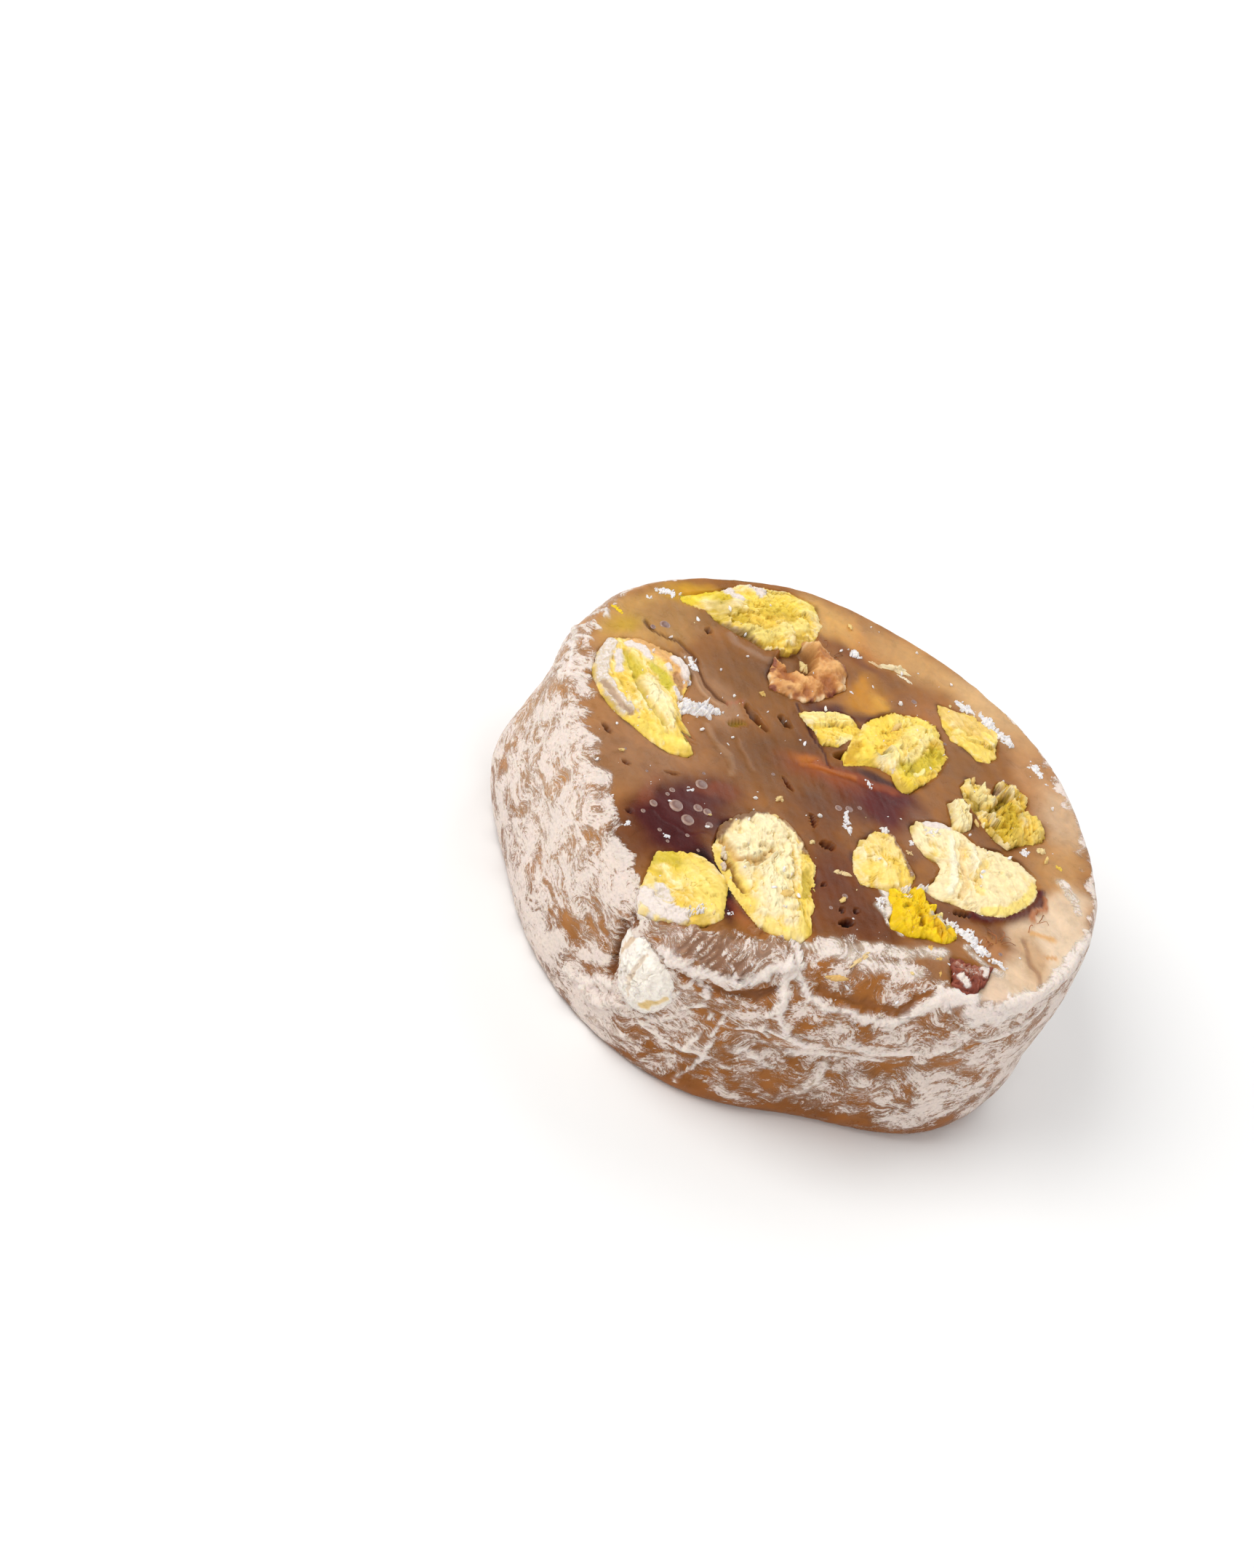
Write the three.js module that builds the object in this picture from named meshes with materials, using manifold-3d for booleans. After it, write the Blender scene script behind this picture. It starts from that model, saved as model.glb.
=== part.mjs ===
// A slice of a Turkish delight roll: a thick disc of chewy jelly, cut from the roll with a knife, with
// broken pistachio kernels standing in its upper cut face and one kernel bulging out of its wall.
// Millimetres, +Z up. The slice lies on its lower cut; the origin is under the middle of its box.

import * as THREE from "three";
import { mergeVertices } from "three/addons/utils/BufferGeometryUtils.js";
import Module from "manifold-3d";

const wasm = await Module();
wasm.setup();

// Driving dimensions of the jelly. Each list runs anticlockwise round the slice from +X in even steps:
// GIRTH is the widest radius, EDGE the radius of the upper cut and EDGE_DROOP the sag of that cut's edge.
const THICKNESS = 19; // upper cut above the lower one, at the middle of the slice
const CUT_SLOPE = 0.035; // rise of the upper cut for each millimetre of +X, as the two cuts aren't parallel
const GIRTH = [27.8, 26.4, 25.4, 25.4, 27.2, 30, 28, 25, 25.6, 25.4, 24, 27.6];
const EDGE = [26.4, 24.8, 24.4, 24.8, 26.6, 27.8, 24.6, 22.4, 23.2, 20.8, 18.8, 26.2];
const EDGE_DROOP = [0, 0, 0, 0, 0.2, 0.8, 0.8, 0.8, 2.6, 0.8, 0.6, 0.4];
const DROOP_POWER = 5; // how late the cut bends down towards its edge
const RIPPLE = 0.22; // height of the slow waves in the upper cut
const GIRTH_HEIGHT = 8.5; // height of the widest section
const FOOT_INSET = 1.9; // how far the lower cut's edge stands in from the girth
const SHOULDER = 2.7; // superellipse power of the wall above the girth: 2 is round, more is squarer
const HEEL = 3.2; // the same, below the girth
const GAP = 0.3; // clearance between a kernel and its pocket in the jelly

// Mesh density.
const SEGMENTS = 60;
const FACE_RINGS = 3;
const WALL_RINGS = 6; // rings on the shoulder, and again on the heel
const SMALL_KERNEL = 4.5; // a kernel whose radii are all under this gets fewer segments

// Profile of a kernel from its lowest to its highest point: share of the outline's radius, and level
// from -1 at the depth to 1 at the top of the dome.
const KERNEL_PROFILE = [
  [0, -1],
  [0.6, -0.85],
  [0.9, -0.45],
  [1, 0],
  [0.93, 0.5],
  [0.66, 0.9],
  [0, 1],
];

// Soft swellings (+) and hollows (-) of the wall: bearing in degrees, height, spread along and up the
// wall, and how far the wall moves.
const SWELLINGS = [
  { bearing: 186, height: 6, along: 7, up: 4.5, out: 1.3 }, // over a buried kernel
  { bearing: 170, height: 8, along: 2.4, up: 6, out: -1.0 }, // waist beside it
  { bearing: 216, height: 4, along: 5, up: 4, out: 0.8 },
  { bearing: 242, height: 9, along: 4.5, up: 4.5, out: -1.2 }, // hollow round the kernel in the wall
  { bearing: 259, height: 15.5, along: 5, up: 2.2, out: 1.4 }, // lip that rolls over that kernel
  { bearing: 292, height: 14, along: 7, up: 2.6, out: 1.6 }, // fold of skin below the cut
  { bearing: 288, height: 9.6, along: 10, up: 1.4, out: -0.7 }, // crease under the fold
  { bearing: 318, height: 10.5, along: 8, up: 1.6, out: -0.5 },
  { bearing: 35, height: 9, along: 9, up: 5, out: 0.8 },
  { bearing: 100, height: 8, along: 6, up: 5, out: 0.9 },
  { bearing: 128, height: 10, along: 3, up: 7, out: -0.7 },
];

const TURN = 2 * Math.PI;
const radians = (degrees) => THREE.MathUtils.degToRad(degrees);

// The value of an evenly spaced, closed list at an angle, on a smooth cubic through its entries.
function around(list, angle) {
  const n = list.length;
  const place = (((angle / TURN) % 1) + 1) * n;
  const i = Math.floor(place);
  const t = place - i;
  const [a, b, c, d] = [-1, 0, 1, 2].map((k) => list[(i + k) % n]);
  return b + 0.5 * t * (c - a + t * (2 * a - 5 * b + 4 * c - d + t * (3 * (b - c) + d - a)));
}

// Height of the upper cut at a point of the slice.
function cutHeight(x, y) {
  const angle = Math.atan2(y, x);
  const share = Math.min(1, Math.hypot(x, y) / around(EDGE, angle));
  const wave = RIPPLE * Math.sin(0.21 * x + 0.9) * Math.cos(0.17 * y - 0.4);
  return THICKNESS + CUT_SLOPE * x + wave - around(EDGE_DROOP, angle) * share ** DROOP_POWER;
}

// How far the swellings move the wall at a bearing and a height.
function swelling(angle, height) {
  let out = 0;
  for (const s of SWELLINGS) {
    let turn = angle - radians(s.bearing);
    turn -= TURN * Math.round(turn / TURN);
    const along = (turn * around(GIRTH, angle)) / s.along;
    const up = (height - s.height) / s.up;
    out += s.out * Math.exp(-along * along - up * up);
  }
  return out;
}

// One point of the jelly's skin. side is 0 to 1 over the upper cut, 1 to 2 down the shoulder, 2 to 3
// down the heel and 3 to 4 back to the middle of the lower cut.
function skinPoint(side, angle) {
  const edge = around(EDGE, angle);
  const girth = around(GIRTH, angle);
  const top = cutHeight(edge * Math.cos(angle), edge * Math.sin(angle));
  let radius;
  let height;
  if (side <= 1) {
    radius = edge * side;
    height = cutHeight(radius * Math.cos(angle), radius * Math.sin(angle));
  } else if (side < 3) {
    const above = side <= 2;
    const a = (above ? side - 1 : 3 - side) * (Math.PI / 2);
    const power = 2 / (above ? SHOULDER : HEEL);
    const inner = above ? edge : girth - FOOT_INSET;
    const far = above ? top : 0;
    radius = inner + (girth - inner) * Math.sin(a) ** power;
    height = GIRTH_HEIGHT + (far - GIRTH_HEIGHT) * Math.cos(a) ** power;
    radius += swelling(angle, height);
  } else {
    radius = (girth - FOOT_INSET) * (4 - side);
    height = 0;
    radius += swelling(angle, 0) * (4 - side);
  }
  return new THREE.Vector3(radius * Math.cos(angle), radius * Math.sin(angle), Math.max(0, height));
}

// The jelly's skin: a lathe whose profile only counts the rings, with every vertex then put in place.
function jellyGeometry() {
  const sides = [];
  for (let i = 0; i < FACE_RINGS; i++) sides.push(4 - i / FACE_RINGS);
  for (let i = 0; i < 2 * WALL_RINGS; i++) sides.push(3 - i / WALL_RINGS);
  for (let i = 0; i <= FACE_RINGS; i++) sides.push(1 - i / FACE_RINGS);
  const profile = sides.map((side, i) => {
    const atAxis = i === 0 || i === sides.length - 1;
    return new THREE.Vector2(atAxis ? 0 : 1, side);
  });
  const geometry = new THREE.LatheGeometry(profile, SEGMENTS);
  const position = geometry.getAttribute("position");
  for (let i = 0; i < position.count; i++) {
    const angle = Math.atan2(-position.getZ(i), position.getX(i));
    const onAxis = position.getX(i) === 0 && position.getZ(i) === 0;
    const point = skinPoint(position.getY(i), onAxis ? 0 : angle);
    position.setXYZ(i, point.x, point.y, point.z);
  }
  return geometry;
}

// A closed geometry as a manifold-3d solid.
function solidOf(geometry) {
  const bare = geometry.clone();
  bare.deleteAttribute("normal");
  bare.deleteAttribute("uv");
  const merged = mergeVertices(bare, 1e-4);
  return new wasm.Manifold(
    new wasm.Mesh({
      numProp: 3,
      vertProperties: merged.getAttribute("position").array,
      triVerts: new Uint32Array(merged.index.array),
    }),
  );
}

// A manifold-3d solid as a flat-shaded geometry.
function geometryOf(solid) {
  const mesh = solid.getMesh();
  const geometry = new THREE.BufferGeometry();
  geometry.setAttribute("position", new THREE.BufferAttribute(mesh.vertProperties, 3));
  geometry.setIndex(new THREE.BufferAttribute(mesh.triVerts, 1));
  return geometry;
}

// A kernel lying in a plane: its outline has the given radii, in even steps anticlockwise from the
// direction turn, in degrees. It stands proud of the plane by a low dome and goes depth below it.
// extra grows it all round.
function kernelGeometry({ turn, radii, depth, proud }, extra) {
  const segments = Math.max(...radii) < SMALL_KERNEL ? 12 : 20;
  const profile = KERNEL_PROFILE.map(([share], i) => new THREE.Vector2(share > 0 ? 1 : 0, i));
  const geometry = new THREE.LatheGeometry(profile, segments);
  const position = geometry.getAttribute("position");
  for (let i = 0; i < position.count; i++) {
    const angle = Math.atan2(-position.getZ(i), position.getX(i));
    const [share, level] = KERNEL_PROFILE[Math.round(position.getY(i))];
    const radius = share * (around(radii, angle) + extra);
    const reach = (level > 0 ? proud : depth) + extra;
    const x = radius * Math.cos(angle);
    const y = radius * Math.sin(angle);
    position.setXYZ(i, x, y, level * reach);
  }
  return geometry.rotateZ(radians(turn));
}

// Kernels in the upper cut, each with its middle at a point of the cut.
const KERNELS = [
  {
    name: "kernel_far_left",
    color: 0xe3bb3d,
    at: [-13, 18.2],
    turn: 33,
    radii: [6, 5.6, 4.4, 3.5, 3.8, 5.4, 6.4, 4.8, 4.4, 4.4, 4.4, 5],
    depth: 4.2,
    proud: 1,
  },
  {
    name: "kernel_skinned",
    color: 0xefcb7c,
    at: [-19.1, 1.2],
    turn: 134,
    radii: [6.8, 5.8, 4.8, 4.2, 4.2, 4.8, 8.2, 5.2, 3.6, 3.9, 5.2, 5.9],
    depth: 4,
    proud: 1,
  },
  {
    name: "skin_curl",
    color: 0xc98a4b,
    at: [-6.2, 14.3],
    turn: 63,
    radii: [4.8, 4.4, 2.8, 2.5, 2.9, 4.2, 4.8, 3.9, 3.1, 2.8, 3.2, 4],
    depth: 2.4,
    proud: 1.4,
  },
  {
    name: "kernel_chip",
    color: 0xf0cf6a,
    at: [-2.6, 8.4],
    turn: 34,
    radii: [2.8, 2.5, 2.2, 1.9, 2.1, 3.1, 2.6, 2.3, 2.3, 2.3, 2, 2.1],
    depth: 2.4,
    proud: 0.8,
  },
  {
    name: "kernel_diamond",
    color: 0xedc74a,
    at: [4.2, 10],
    turn: 66,
    radii: [5.5, 4.8, 4.2, 3.9, 4.2, 5.6, 4.6, 4.2, 4.9, 3.9, 4.1, 5],
    depth: 4,
    proud: 1.2,
  },
  {
    name: "kernel_far_right",
    color: 0xe6c35f,
    at: [9.4, 17],
    turn: 156,
    radii: [4.2, 2.9, 2.3, 2, 2.1, 3.2, 3.1, 2.8, 2.9, 2.1, 2.3, 2.7],
    depth: 3,
    proud: 0.6,
  },
  {
    name: "kernel_crumbled",
    color: 0xd2ac45,
    at: [15, 9.2],
    turn: 0,
    radii: [3.9, 4.6, 3.2, 3.6, 2.6, 3.6, 3.8, 3.4, 2.9, 3.3, 3.5, 3.5],
    depth: 3,
    proud: 0.9,
  },
  {
    name: "kernel_crumb",
    color: 0xf2dca0,
    at: [11, 5.6],
    turn: 102,
    radii: [1.7, 1.5, 1.3, 1.1, 1.1, 1.4, 1.6, 1.4, 1.1, 1.1, 1.2, 1.6],
    depth: 1.2,
    proud: 1.3,
  },
  {
    name: "kernel_boot",
    color: 0xf3da9c,
    at: [14.7, -0.4],
    turn: 174,
    radii: [6.8, 4, 5.3, 5.2, 4.9, 4.9, 5.6, 6.2, 4.7, 3.8, 4.4, 5.9],
    depth: 4,
    proud: 1.3,
  },
  {
    name: "kernel_small",
    color: 0xf2d893,
    at: [6.8, -4.9],
    turn: 104,
    radii: [3.8, 3, 2.6, 2.3, 2.5, 2.9, 2.5, 2.6, 3.1, 3.1, 2.2, 2.4],
    depth: 3,
    proud: 0.8,
  },
  {
    name: "kernel_bright",
    color: 0xe9b804,
    at: [11.6, -9],
    turn: 90,
    radii: [3.2, 1.9, 2.4, 1.7, 1.5, 2.7, 2.9, 2.9, 3.6, 4, 2.4, 2.2],
    depth: 2.4,
    proud: 1.2,
  },
  {
    name: "kernel_red",
    color: 0x8a4a34,
    at: [18.3, -12.9],
    turn: 62,
    radii: [2.3, 1.6, 1.4, 1.7, 1.8, 1.7, 1.8, 1.8, 2, 1.5, 1.4, 1.7],
    depth: 2,
    proud: 0.5,
  },
  {
    name: "kernel_near",
    color: 0xf0d588,
    at: [-8, -19.5],
    turn: 69,
    radii: [3.9, 3.8, 4.2, 3.7, 3.3, 3.5, 3.6, 3.4, 3.3, 3.7, 4, 4.1],
    depth: 2.6,
    proud: 0.9,
  },
  {
    name: "kernel_large",
    color: 0xf5dda3,
    at: [-1.7, -12.4],
    turn: 124,
    radii: [6.4, 5.7, 5.1, 4.4, 4.4, 5.8, 7.2, 6, 4.2, 4.3, 5.2, 6],
    depth: 4.4,
    proud: 1.4,
  },
];

// The kernel that stands out of the wall: it lies along the wall with its back in the jelly.
const WALL_KERNEL = {
  bearing: 254,
  height: 10.8,
  stands: 1.4, // middle of the kernel inside the girth
  turn: 8, // its upper end leans this many degrees anticlockwise round the slice
  radii: [4.8, 4.2, 3.4, 3, 3.1, 3.9, 4.6, 4, 3.3, 3, 3.2, 4],
  depth: 3,
  proud: 2.6,
};

// A kernel in the upper cut as a solid. extra grows it for the pocket.
function kernelSolid(kernel, extra = 0) {
  const [x, y] = kernel.at;
  return solidOf(kernelGeometry(kernel, extra).translate(x, y, cutHeight(x, y)));
}

function wallKernelSolid(extra = 0) {
  const angle = radians(WALL_KERNEL.bearing);
  const radius = around(GIRTH, angle) - WALL_KERNEL.stands;
  return solidOf(
    kernelGeometry(WALL_KERNEL, extra)
      .rotateY(Math.PI / 2)
      .rotateX(Math.PI)
      .rotateZ(angle)
      .translate(radius * Math.cos(angle), radius * Math.sin(angle), WALL_KERNEL.height),
  );
}

function nutMaterial(color) {
  return new THREE.MeshStandardMaterial({ color, roughness: 0.75, metalness: 0 });
}

const slice = new THREE.Group();

const pockets = [...KERNELS.map((kernel) => kernelSolid(kernel, GAP)), wallKernelSolid(GAP)];
const jelly = pockets.reduce((body, pocket) => body.subtract(pocket), solidOf(jellyGeometry()));
const jellyMaterial = new THREE.MeshStandardMaterial({ color: 0x9e6a42, roughness: 0.4, metalness: 0 });
slice.add(Object.assign(new THREE.Mesh(geometryOf(jelly), jellyMaterial), { name: "jelly" }));

for (const kernel of KERNELS) {
  const mesh = new THREE.Mesh(geometryOf(kernelSolid(kernel)), nutMaterial(kernel.color));
  mesh.name = kernel.name;
  slice.add(mesh);
}
const wallKernel = new THREE.Mesh(geometryOf(wallKernelSolid()), nutMaterial(0xf0e4d8));
wallKernel.name = "kernel_wall";
slice.add(wallKernel);

// The slice stands on z = 0 with the origin under the middle of its box.
const box = new THREE.Box3().setFromObject(slice);
const middle = box.getCenter(new THREE.Vector3());
slice.position.set(-middle.x, -middle.y, -box.min.z);

export default slice;
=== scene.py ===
"""Models one slice of rolled Turkish delight: moist brown jelly with chopped pistachio kernels
and a rubbed coat of starch powder, lying on its back cut on a pale floor."""

import math

import bpy
import numpy as np
from mathutils import Matrix, Vector


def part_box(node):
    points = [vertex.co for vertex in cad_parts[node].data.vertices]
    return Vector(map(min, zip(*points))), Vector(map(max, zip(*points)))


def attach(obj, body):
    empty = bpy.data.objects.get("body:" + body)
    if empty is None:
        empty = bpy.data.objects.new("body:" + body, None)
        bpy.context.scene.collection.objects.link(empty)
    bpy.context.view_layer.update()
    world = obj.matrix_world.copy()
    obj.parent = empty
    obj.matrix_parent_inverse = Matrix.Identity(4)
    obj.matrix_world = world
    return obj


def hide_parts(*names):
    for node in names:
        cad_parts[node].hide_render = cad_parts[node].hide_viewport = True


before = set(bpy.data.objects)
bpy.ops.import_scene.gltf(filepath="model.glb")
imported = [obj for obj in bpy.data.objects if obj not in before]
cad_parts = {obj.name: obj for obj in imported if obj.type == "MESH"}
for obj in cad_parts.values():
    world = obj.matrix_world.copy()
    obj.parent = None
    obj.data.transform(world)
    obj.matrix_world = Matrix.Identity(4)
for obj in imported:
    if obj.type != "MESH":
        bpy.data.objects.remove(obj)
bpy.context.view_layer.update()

bl_info = {
    "name": "Turkish Delight Slice",
    "version": (1, 0, 0),
    "blender": (4, 5, 0),
    "location": "3D Viewport > Sidebar > Delight",
    "description": "Models a slice of rolled Turkish delight with pistachio kernels and powder",
    "category": "Object",
}

MM = 0.001
BODY = "root"

# The slice, in millimetres, with bearings anticlockwise from +X seen from above.
THICKNESS = 19.0
CUT_SLOPE = 0.035
RIPPLE = 0.22
GIRTH = (27.8, 26.4, 25.4, 25.4, 27.2, 30.0, 28.0, 25.0, 25.6, 25.4, 24.0, 27.6)
EDGE = (26.4, 24.8, 24.4, 24.8, 26.6, 27.8, 24.6, 22.4, 23.2, 20.8, 18.8, 26.2)
EDGE_DROOP = (0, 0, 0, 0, 0.2, 0.8, 0.8, 0.8, 2.6, 0.8, 0.6, 0.4)
DROOP_POWER = 5
GIRTH_HEIGHT = 8.5
FOOT_INSET = 1.9
SHOULDER = 2.7
HEEL = 3.2
# Each swelling: bearing, height, reach along, reach up, how far it stands out.
SWELLINGS = (
    (186, 6.0, 7.0, 4.5, 1.3),
    (170, 8.0, 2.4, 6.0, -1.0),
    (216, 4.0, 5.0, 4.0, 0.8),
    (242, 9.0, 4.5, 4.5, -1.2),
    (259, 15.5, 5.0, 2.2, 1.4),
    (292, 14.0, 7.0, 2.6, 1.6),
    (288, 9.6, 10.0, 1.4, -0.7),
    (318, 10.5, 8.0, 1.6, -0.5),
    (35, 9.0, 9.0, 5.0, 0.8),
    (100, 8.0, 6.0, 5.0, 0.9),
    (128, 10.0, 3.0, 7.0, -0.7),
)
# Directions that the random lumps lean in, and the whole numbers they are picked with.
SLANTS = np.array(
    [
        (1, 1, 0), (-1, 1, 0), (1, -1, 0), (-1, -1, 0),
        (1, 0, 1), (-1, 0, 1), (1, 0, -1), (-1, 0, -1),
        (0, 1, 1), (0, -1, 1), (0, 1, -1), (0, -1, -1),
        (1, 1, 0), (-1, 1, 0), (0, -1, 1), (0, -1, -1),
    ],
    float,
)
WORD = 0xFFFFFFFF


# ---------------- plain helpers


def paint(red, green, blue):
    """Linear colour for a paint-chart colour given as 0 to 255."""
    chart = np.array([red, green, blue], float) / 255
    return np.where(chart <= 0.04045, chart / 12.92, ((chart + 0.055) / 1.055) ** 2.4)


def tint(tone, share, colour):
    """Colours brought towards another colour by a share at each point."""
    return tone + share[:, None] * (colour - tone)


def smooth(low, high, value):
    """0 below low, 1 above high and a soft step between them."""
    share = np.clip((value - low) / (high - low), 0, 1)
    return share * share * (3 - 2 * share)


def toss(column, row, layer, seed):
    """A repeatable whole number for each whole-number place in space."""
    mixed = column * 374761393 + row * 668265263 + layer * 1103515245 + seed * 974711
    mixed = mixed & WORD
    mixed = ((mixed ^ (mixed >> 13)) * 1274126177) & WORD
    return mixed ^ (mixed >> 16)


def mottle(places, seed):
    """Smooth random values of about -1 to 1, one lump to each unit of length."""
    cell = np.floor(places).astype(np.int64)
    within = places - cell
    ease = within**3 * (within * (within * 6 - 15) + 10)
    total = np.zeros(len(places))
    for corner in range(8):
        step = np.array([corner & 1, corner >> 1 & 1, corner >> 2 & 1])
        pick = toss(*(cell + step).T, seed) & 15
        value = ((within - step) * SLANTS[pick]).sum(1)
        share = np.where(step == 1, ease, 1 - ease).prod(1)
        total += value * share
    return total * 1.4


def layered(places, octaves, seed, gain=0.5):
    """Mottle on mottle, each half the size of the last."""
    total = np.zeros(len(places))
    weight = 1.0
    whole = 0.0
    for octave in range(octaves):
        total += weight * mottle(places * 2**octave, seed + octave * 17)
        whole += weight
        weight *= gain
    return total / whole * 1.3


def shards(places, seed):
    """Cells of broken flesh over places in a plane: distance to the nearest crack, a random level
    of -1 to 1 for each cell, and a slope of its own across it."""
    cell = np.floor(places).astype(np.int64)
    nearest = np.full(len(places), 9.0)
    second = np.full(len(places), 9.0)
    level = np.zeros(len(places))
    lean = np.zeros(len(places))
    for column in (-1, 0, 1):
        for row in (-1, 0, 1):
            at = cell + np.array([column, row])
            tosses = [toss(*at.T, np.full(len(at), k), seed) for k in range(1, 5)]
            pick_x, pick_y, height, way = (picked / (WORD + 1) for picked in tosses)
            off_x = places[:, 0] - at[:, 0] - pick_x
            off_y = places[:, 1] - at[:, 1] - pick_y
            gap = np.hypot(off_x, off_y)
            closer = gap < nearest
            fall = math.tau * way
            lean = np.where(closer, off_x * np.cos(fall) + off_y * np.sin(fall), lean)
            second = np.where(closer, nearest, np.minimum(second, gap))
            level = np.where(closer, 2 * height - 1, level)
            nearest = np.where(closer, gap, nearest)
    return second - nearest, level, lean


def around(radii, angle):
    """A smooth closed curve through evenly spread radii, at angles in radians."""
    radii = np.asarray(radii, float)
    place = np.mod(angle, math.tau) / math.tau * len(radii)
    step = np.floor(place).astype(int)
    t = place - step
    a, b, c, d = (radii[(step + k) % len(radii)] for k in (-1, 0, 1, 2))
    return b + 0.5 * t * (c - a + t * (2 * a - 5 * b + 4 * c - d + t * (3 * (b - c) + d - a)))


def cut_height(x, y):
    """Height of the upper cut over a place on the slice."""
    angle = np.arctan2(y, x)
    share = np.minimum(1, np.hypot(x, y) / around(EDGE, angle))
    ripple = RIPPLE * np.sin(0.21 * x + 0.9) * np.cos(0.17 * y - 0.4)
    return THICKNESS + CUT_SLOPE * x + ripple - around(EDGE_DROOP, angle) * share**DROOP_POWER


def swelling(angle, height):
    """How far the side stands out or in from its plain girth."""
    total = np.zeros(np.broadcast(angle, height).shape)
    for bearing, middle, along, up, out in SWELLINGS:
        turn = np.mod(angle - math.radians(bearing) + math.pi, math.tau) - math.pi
        arc = turn * around(GIRTH, angle)
        total += out * np.exp(-((arc / along) ** 2) - ((height - middle) / up) ** 2)
    return total


def shoulder_of(edge, girth, top, bend):
    """Radius and height of the side above its girth, for a bend of 0 to a quarter turn."""
    power = 2 / SHOULDER
    radius = edge + (girth - edge) * np.sin(bend) ** power
    return radius, GIRTH_HEIGHT + (top - GIRTH_HEIGHT) * np.maximum(0, np.cos(bend)) ** power


def heel_of(foot, bend):
    """Radius and height of the side below its girth, for a bend of a quarter turn to 0."""
    power = 2 / HEEL
    radius = foot + FOOT_INSET * np.sin(bend) ** power
    return radius, GIRTH_HEIGHT - GIRTH_HEIGHT * np.maximum(0, np.cos(bend)) ** power


def skin_point(side, angle):
    """A point of the slice: side 0 to 1 over the upper cut, to 2 down the shoulder, to 3 round
    the heel and to 4 under the lower cut to its middle."""
    girth = around(GIRTH, angle)
    edge = around(EDGE, angle)
    foot = girth - FOOT_INSET
    top = cut_height(edge * np.cos(angle), edge * np.sin(angle))
    near_top = side <= 1
    reach = np.clip(side, 0, 1) * edge
    radius = np.where(near_top, reach, 0)
    height = np.where(near_top, cut_height(reach * np.cos(angle), reach * np.sin(angle)), 0)
    shoulder = shoulder_of(edge, girth, top, np.clip(side - 1, 0, 1) * math.pi / 2)
    heel = heel_of(foot, np.clip(3 - side, 0, 1) * math.pi / 2)
    for here, part in (((side > 1) & (side <= 2), shoulder), ((side > 2) & (side <= 3), heel)):
        radius = np.where(here, part[0], radius)
        height = np.where(here, part[1], height)
    inward = np.clip(4 - side, 0, 1)
    radius = np.where(side > 3, foot * inward, radius)
    out = swelling(angle, height) * np.where(side > 3, inward, np.where(near_top, 0, 1))
    radius = radius + out
    return np.stack([radius * np.cos(angle), radius * np.sin(angle), height], -1)


def box_shift():
    """Millimetres from the slice's own centre to the frame's, so that the jelly fills its CAD box."""
    side, angle = np.meshgrid(np.linspace(0, 4, 161), np.linspace(0, math.tau, 361))
    points = skin_point(side, angle).reshape(-1, 3)
    low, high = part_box("jelly")
    middle = (np.array(low) + np.array(high)) / 2 / MM
    own = (points.min(0) + points.max(0)) / 2
    return np.array([middle[0] - own[0], middle[1] - own[1], 0])


SHIFT = box_shift()


def on_cut(x, y):
    """The point of the upper cut over a place."""
    return np.array([x, y, float(cut_height(x, y))])


def on_side(bearing, height):
    """The point of the side at a bearing in degrees and a height."""
    angle = math.radians(bearing)
    edge = float(around(EDGE, angle))
    girth = float(around(GIRTH, angle))
    if height > GIRTH_HEIGHT:
        top = float(cut_height(edge * math.cos(angle), edge * math.sin(angle)))
        rise = min(1, (height - GIRTH_HEIGHT) / (top - GIRTH_HEIGHT))
        reach = edge + (girth - edge) * (1 - rise**SHOULDER) ** (1 / SHOULDER)
    else:
        fall = min(1, (GIRTH_HEIGHT - height) / GIRTH_HEIGHT)
        reach = girth - FOOT_INSET + FOOT_INSET * (1 - fall**HEEL) ** (1 / HEEL)
    reach += float(swelling(np.array(angle), np.array(height)))
    return np.array([reach * math.cos(angle), reach * math.sin(angle), height])


def apart(points, path):
    """Distance from each point to the nearest place on a path of straight pieces."""
    nearest = np.full(len(points), 1e9)
    for start, end in zip(path[:-1], path[1:]):
        run = end - start
        share = np.clip((points - start) @ run / (run @ run), 0, 1)
        gap = points - start - share[:, None] * run
        nearest = np.minimum(nearest, np.sqrt((gap * gap).sum(1)))
    return nearest


def oval(points, x, y, long, wide, turn):
    """Distance from the middle of an oval lying on the cut, as a share of its own radius."""
    angle = math.radians(turn)
    gap_x = points[:, 0] - x
    gap_y = points[:, 1] - y
    along = gap_x * math.cos(angle) + gap_y * math.sin(angle)
    across = gap_y * math.cos(angle) - gap_x * math.sin(angle)
    return np.hypot(along / long, across / wide)


def at_level(places, level):
    """Places in a plane, each with its height."""
    return np.column_stack([places, np.broadcast_to(level, len(places))])


def fan(turn, reach, share=1):
    """Places in a plane at turns about its middle, at a share of their reach."""
    return np.stack([np.cos(turn) * reach * share, np.sin(turn) * reach * share], 1)


def normals_of(points, faces):
    """Unit normals of the vertices of a mesh of triangles."""
    total = np.zeros_like(points)
    a, b, c = (points[faces[:, k]] for k in range(3))
    facing = np.cross(b - a, c - a)
    for k in range(3):
        np.add.at(total, faces[:, k], facing)
    return total / np.maximum(1e-12, np.linalg.norm(total, axis=1))[:, None]


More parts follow.
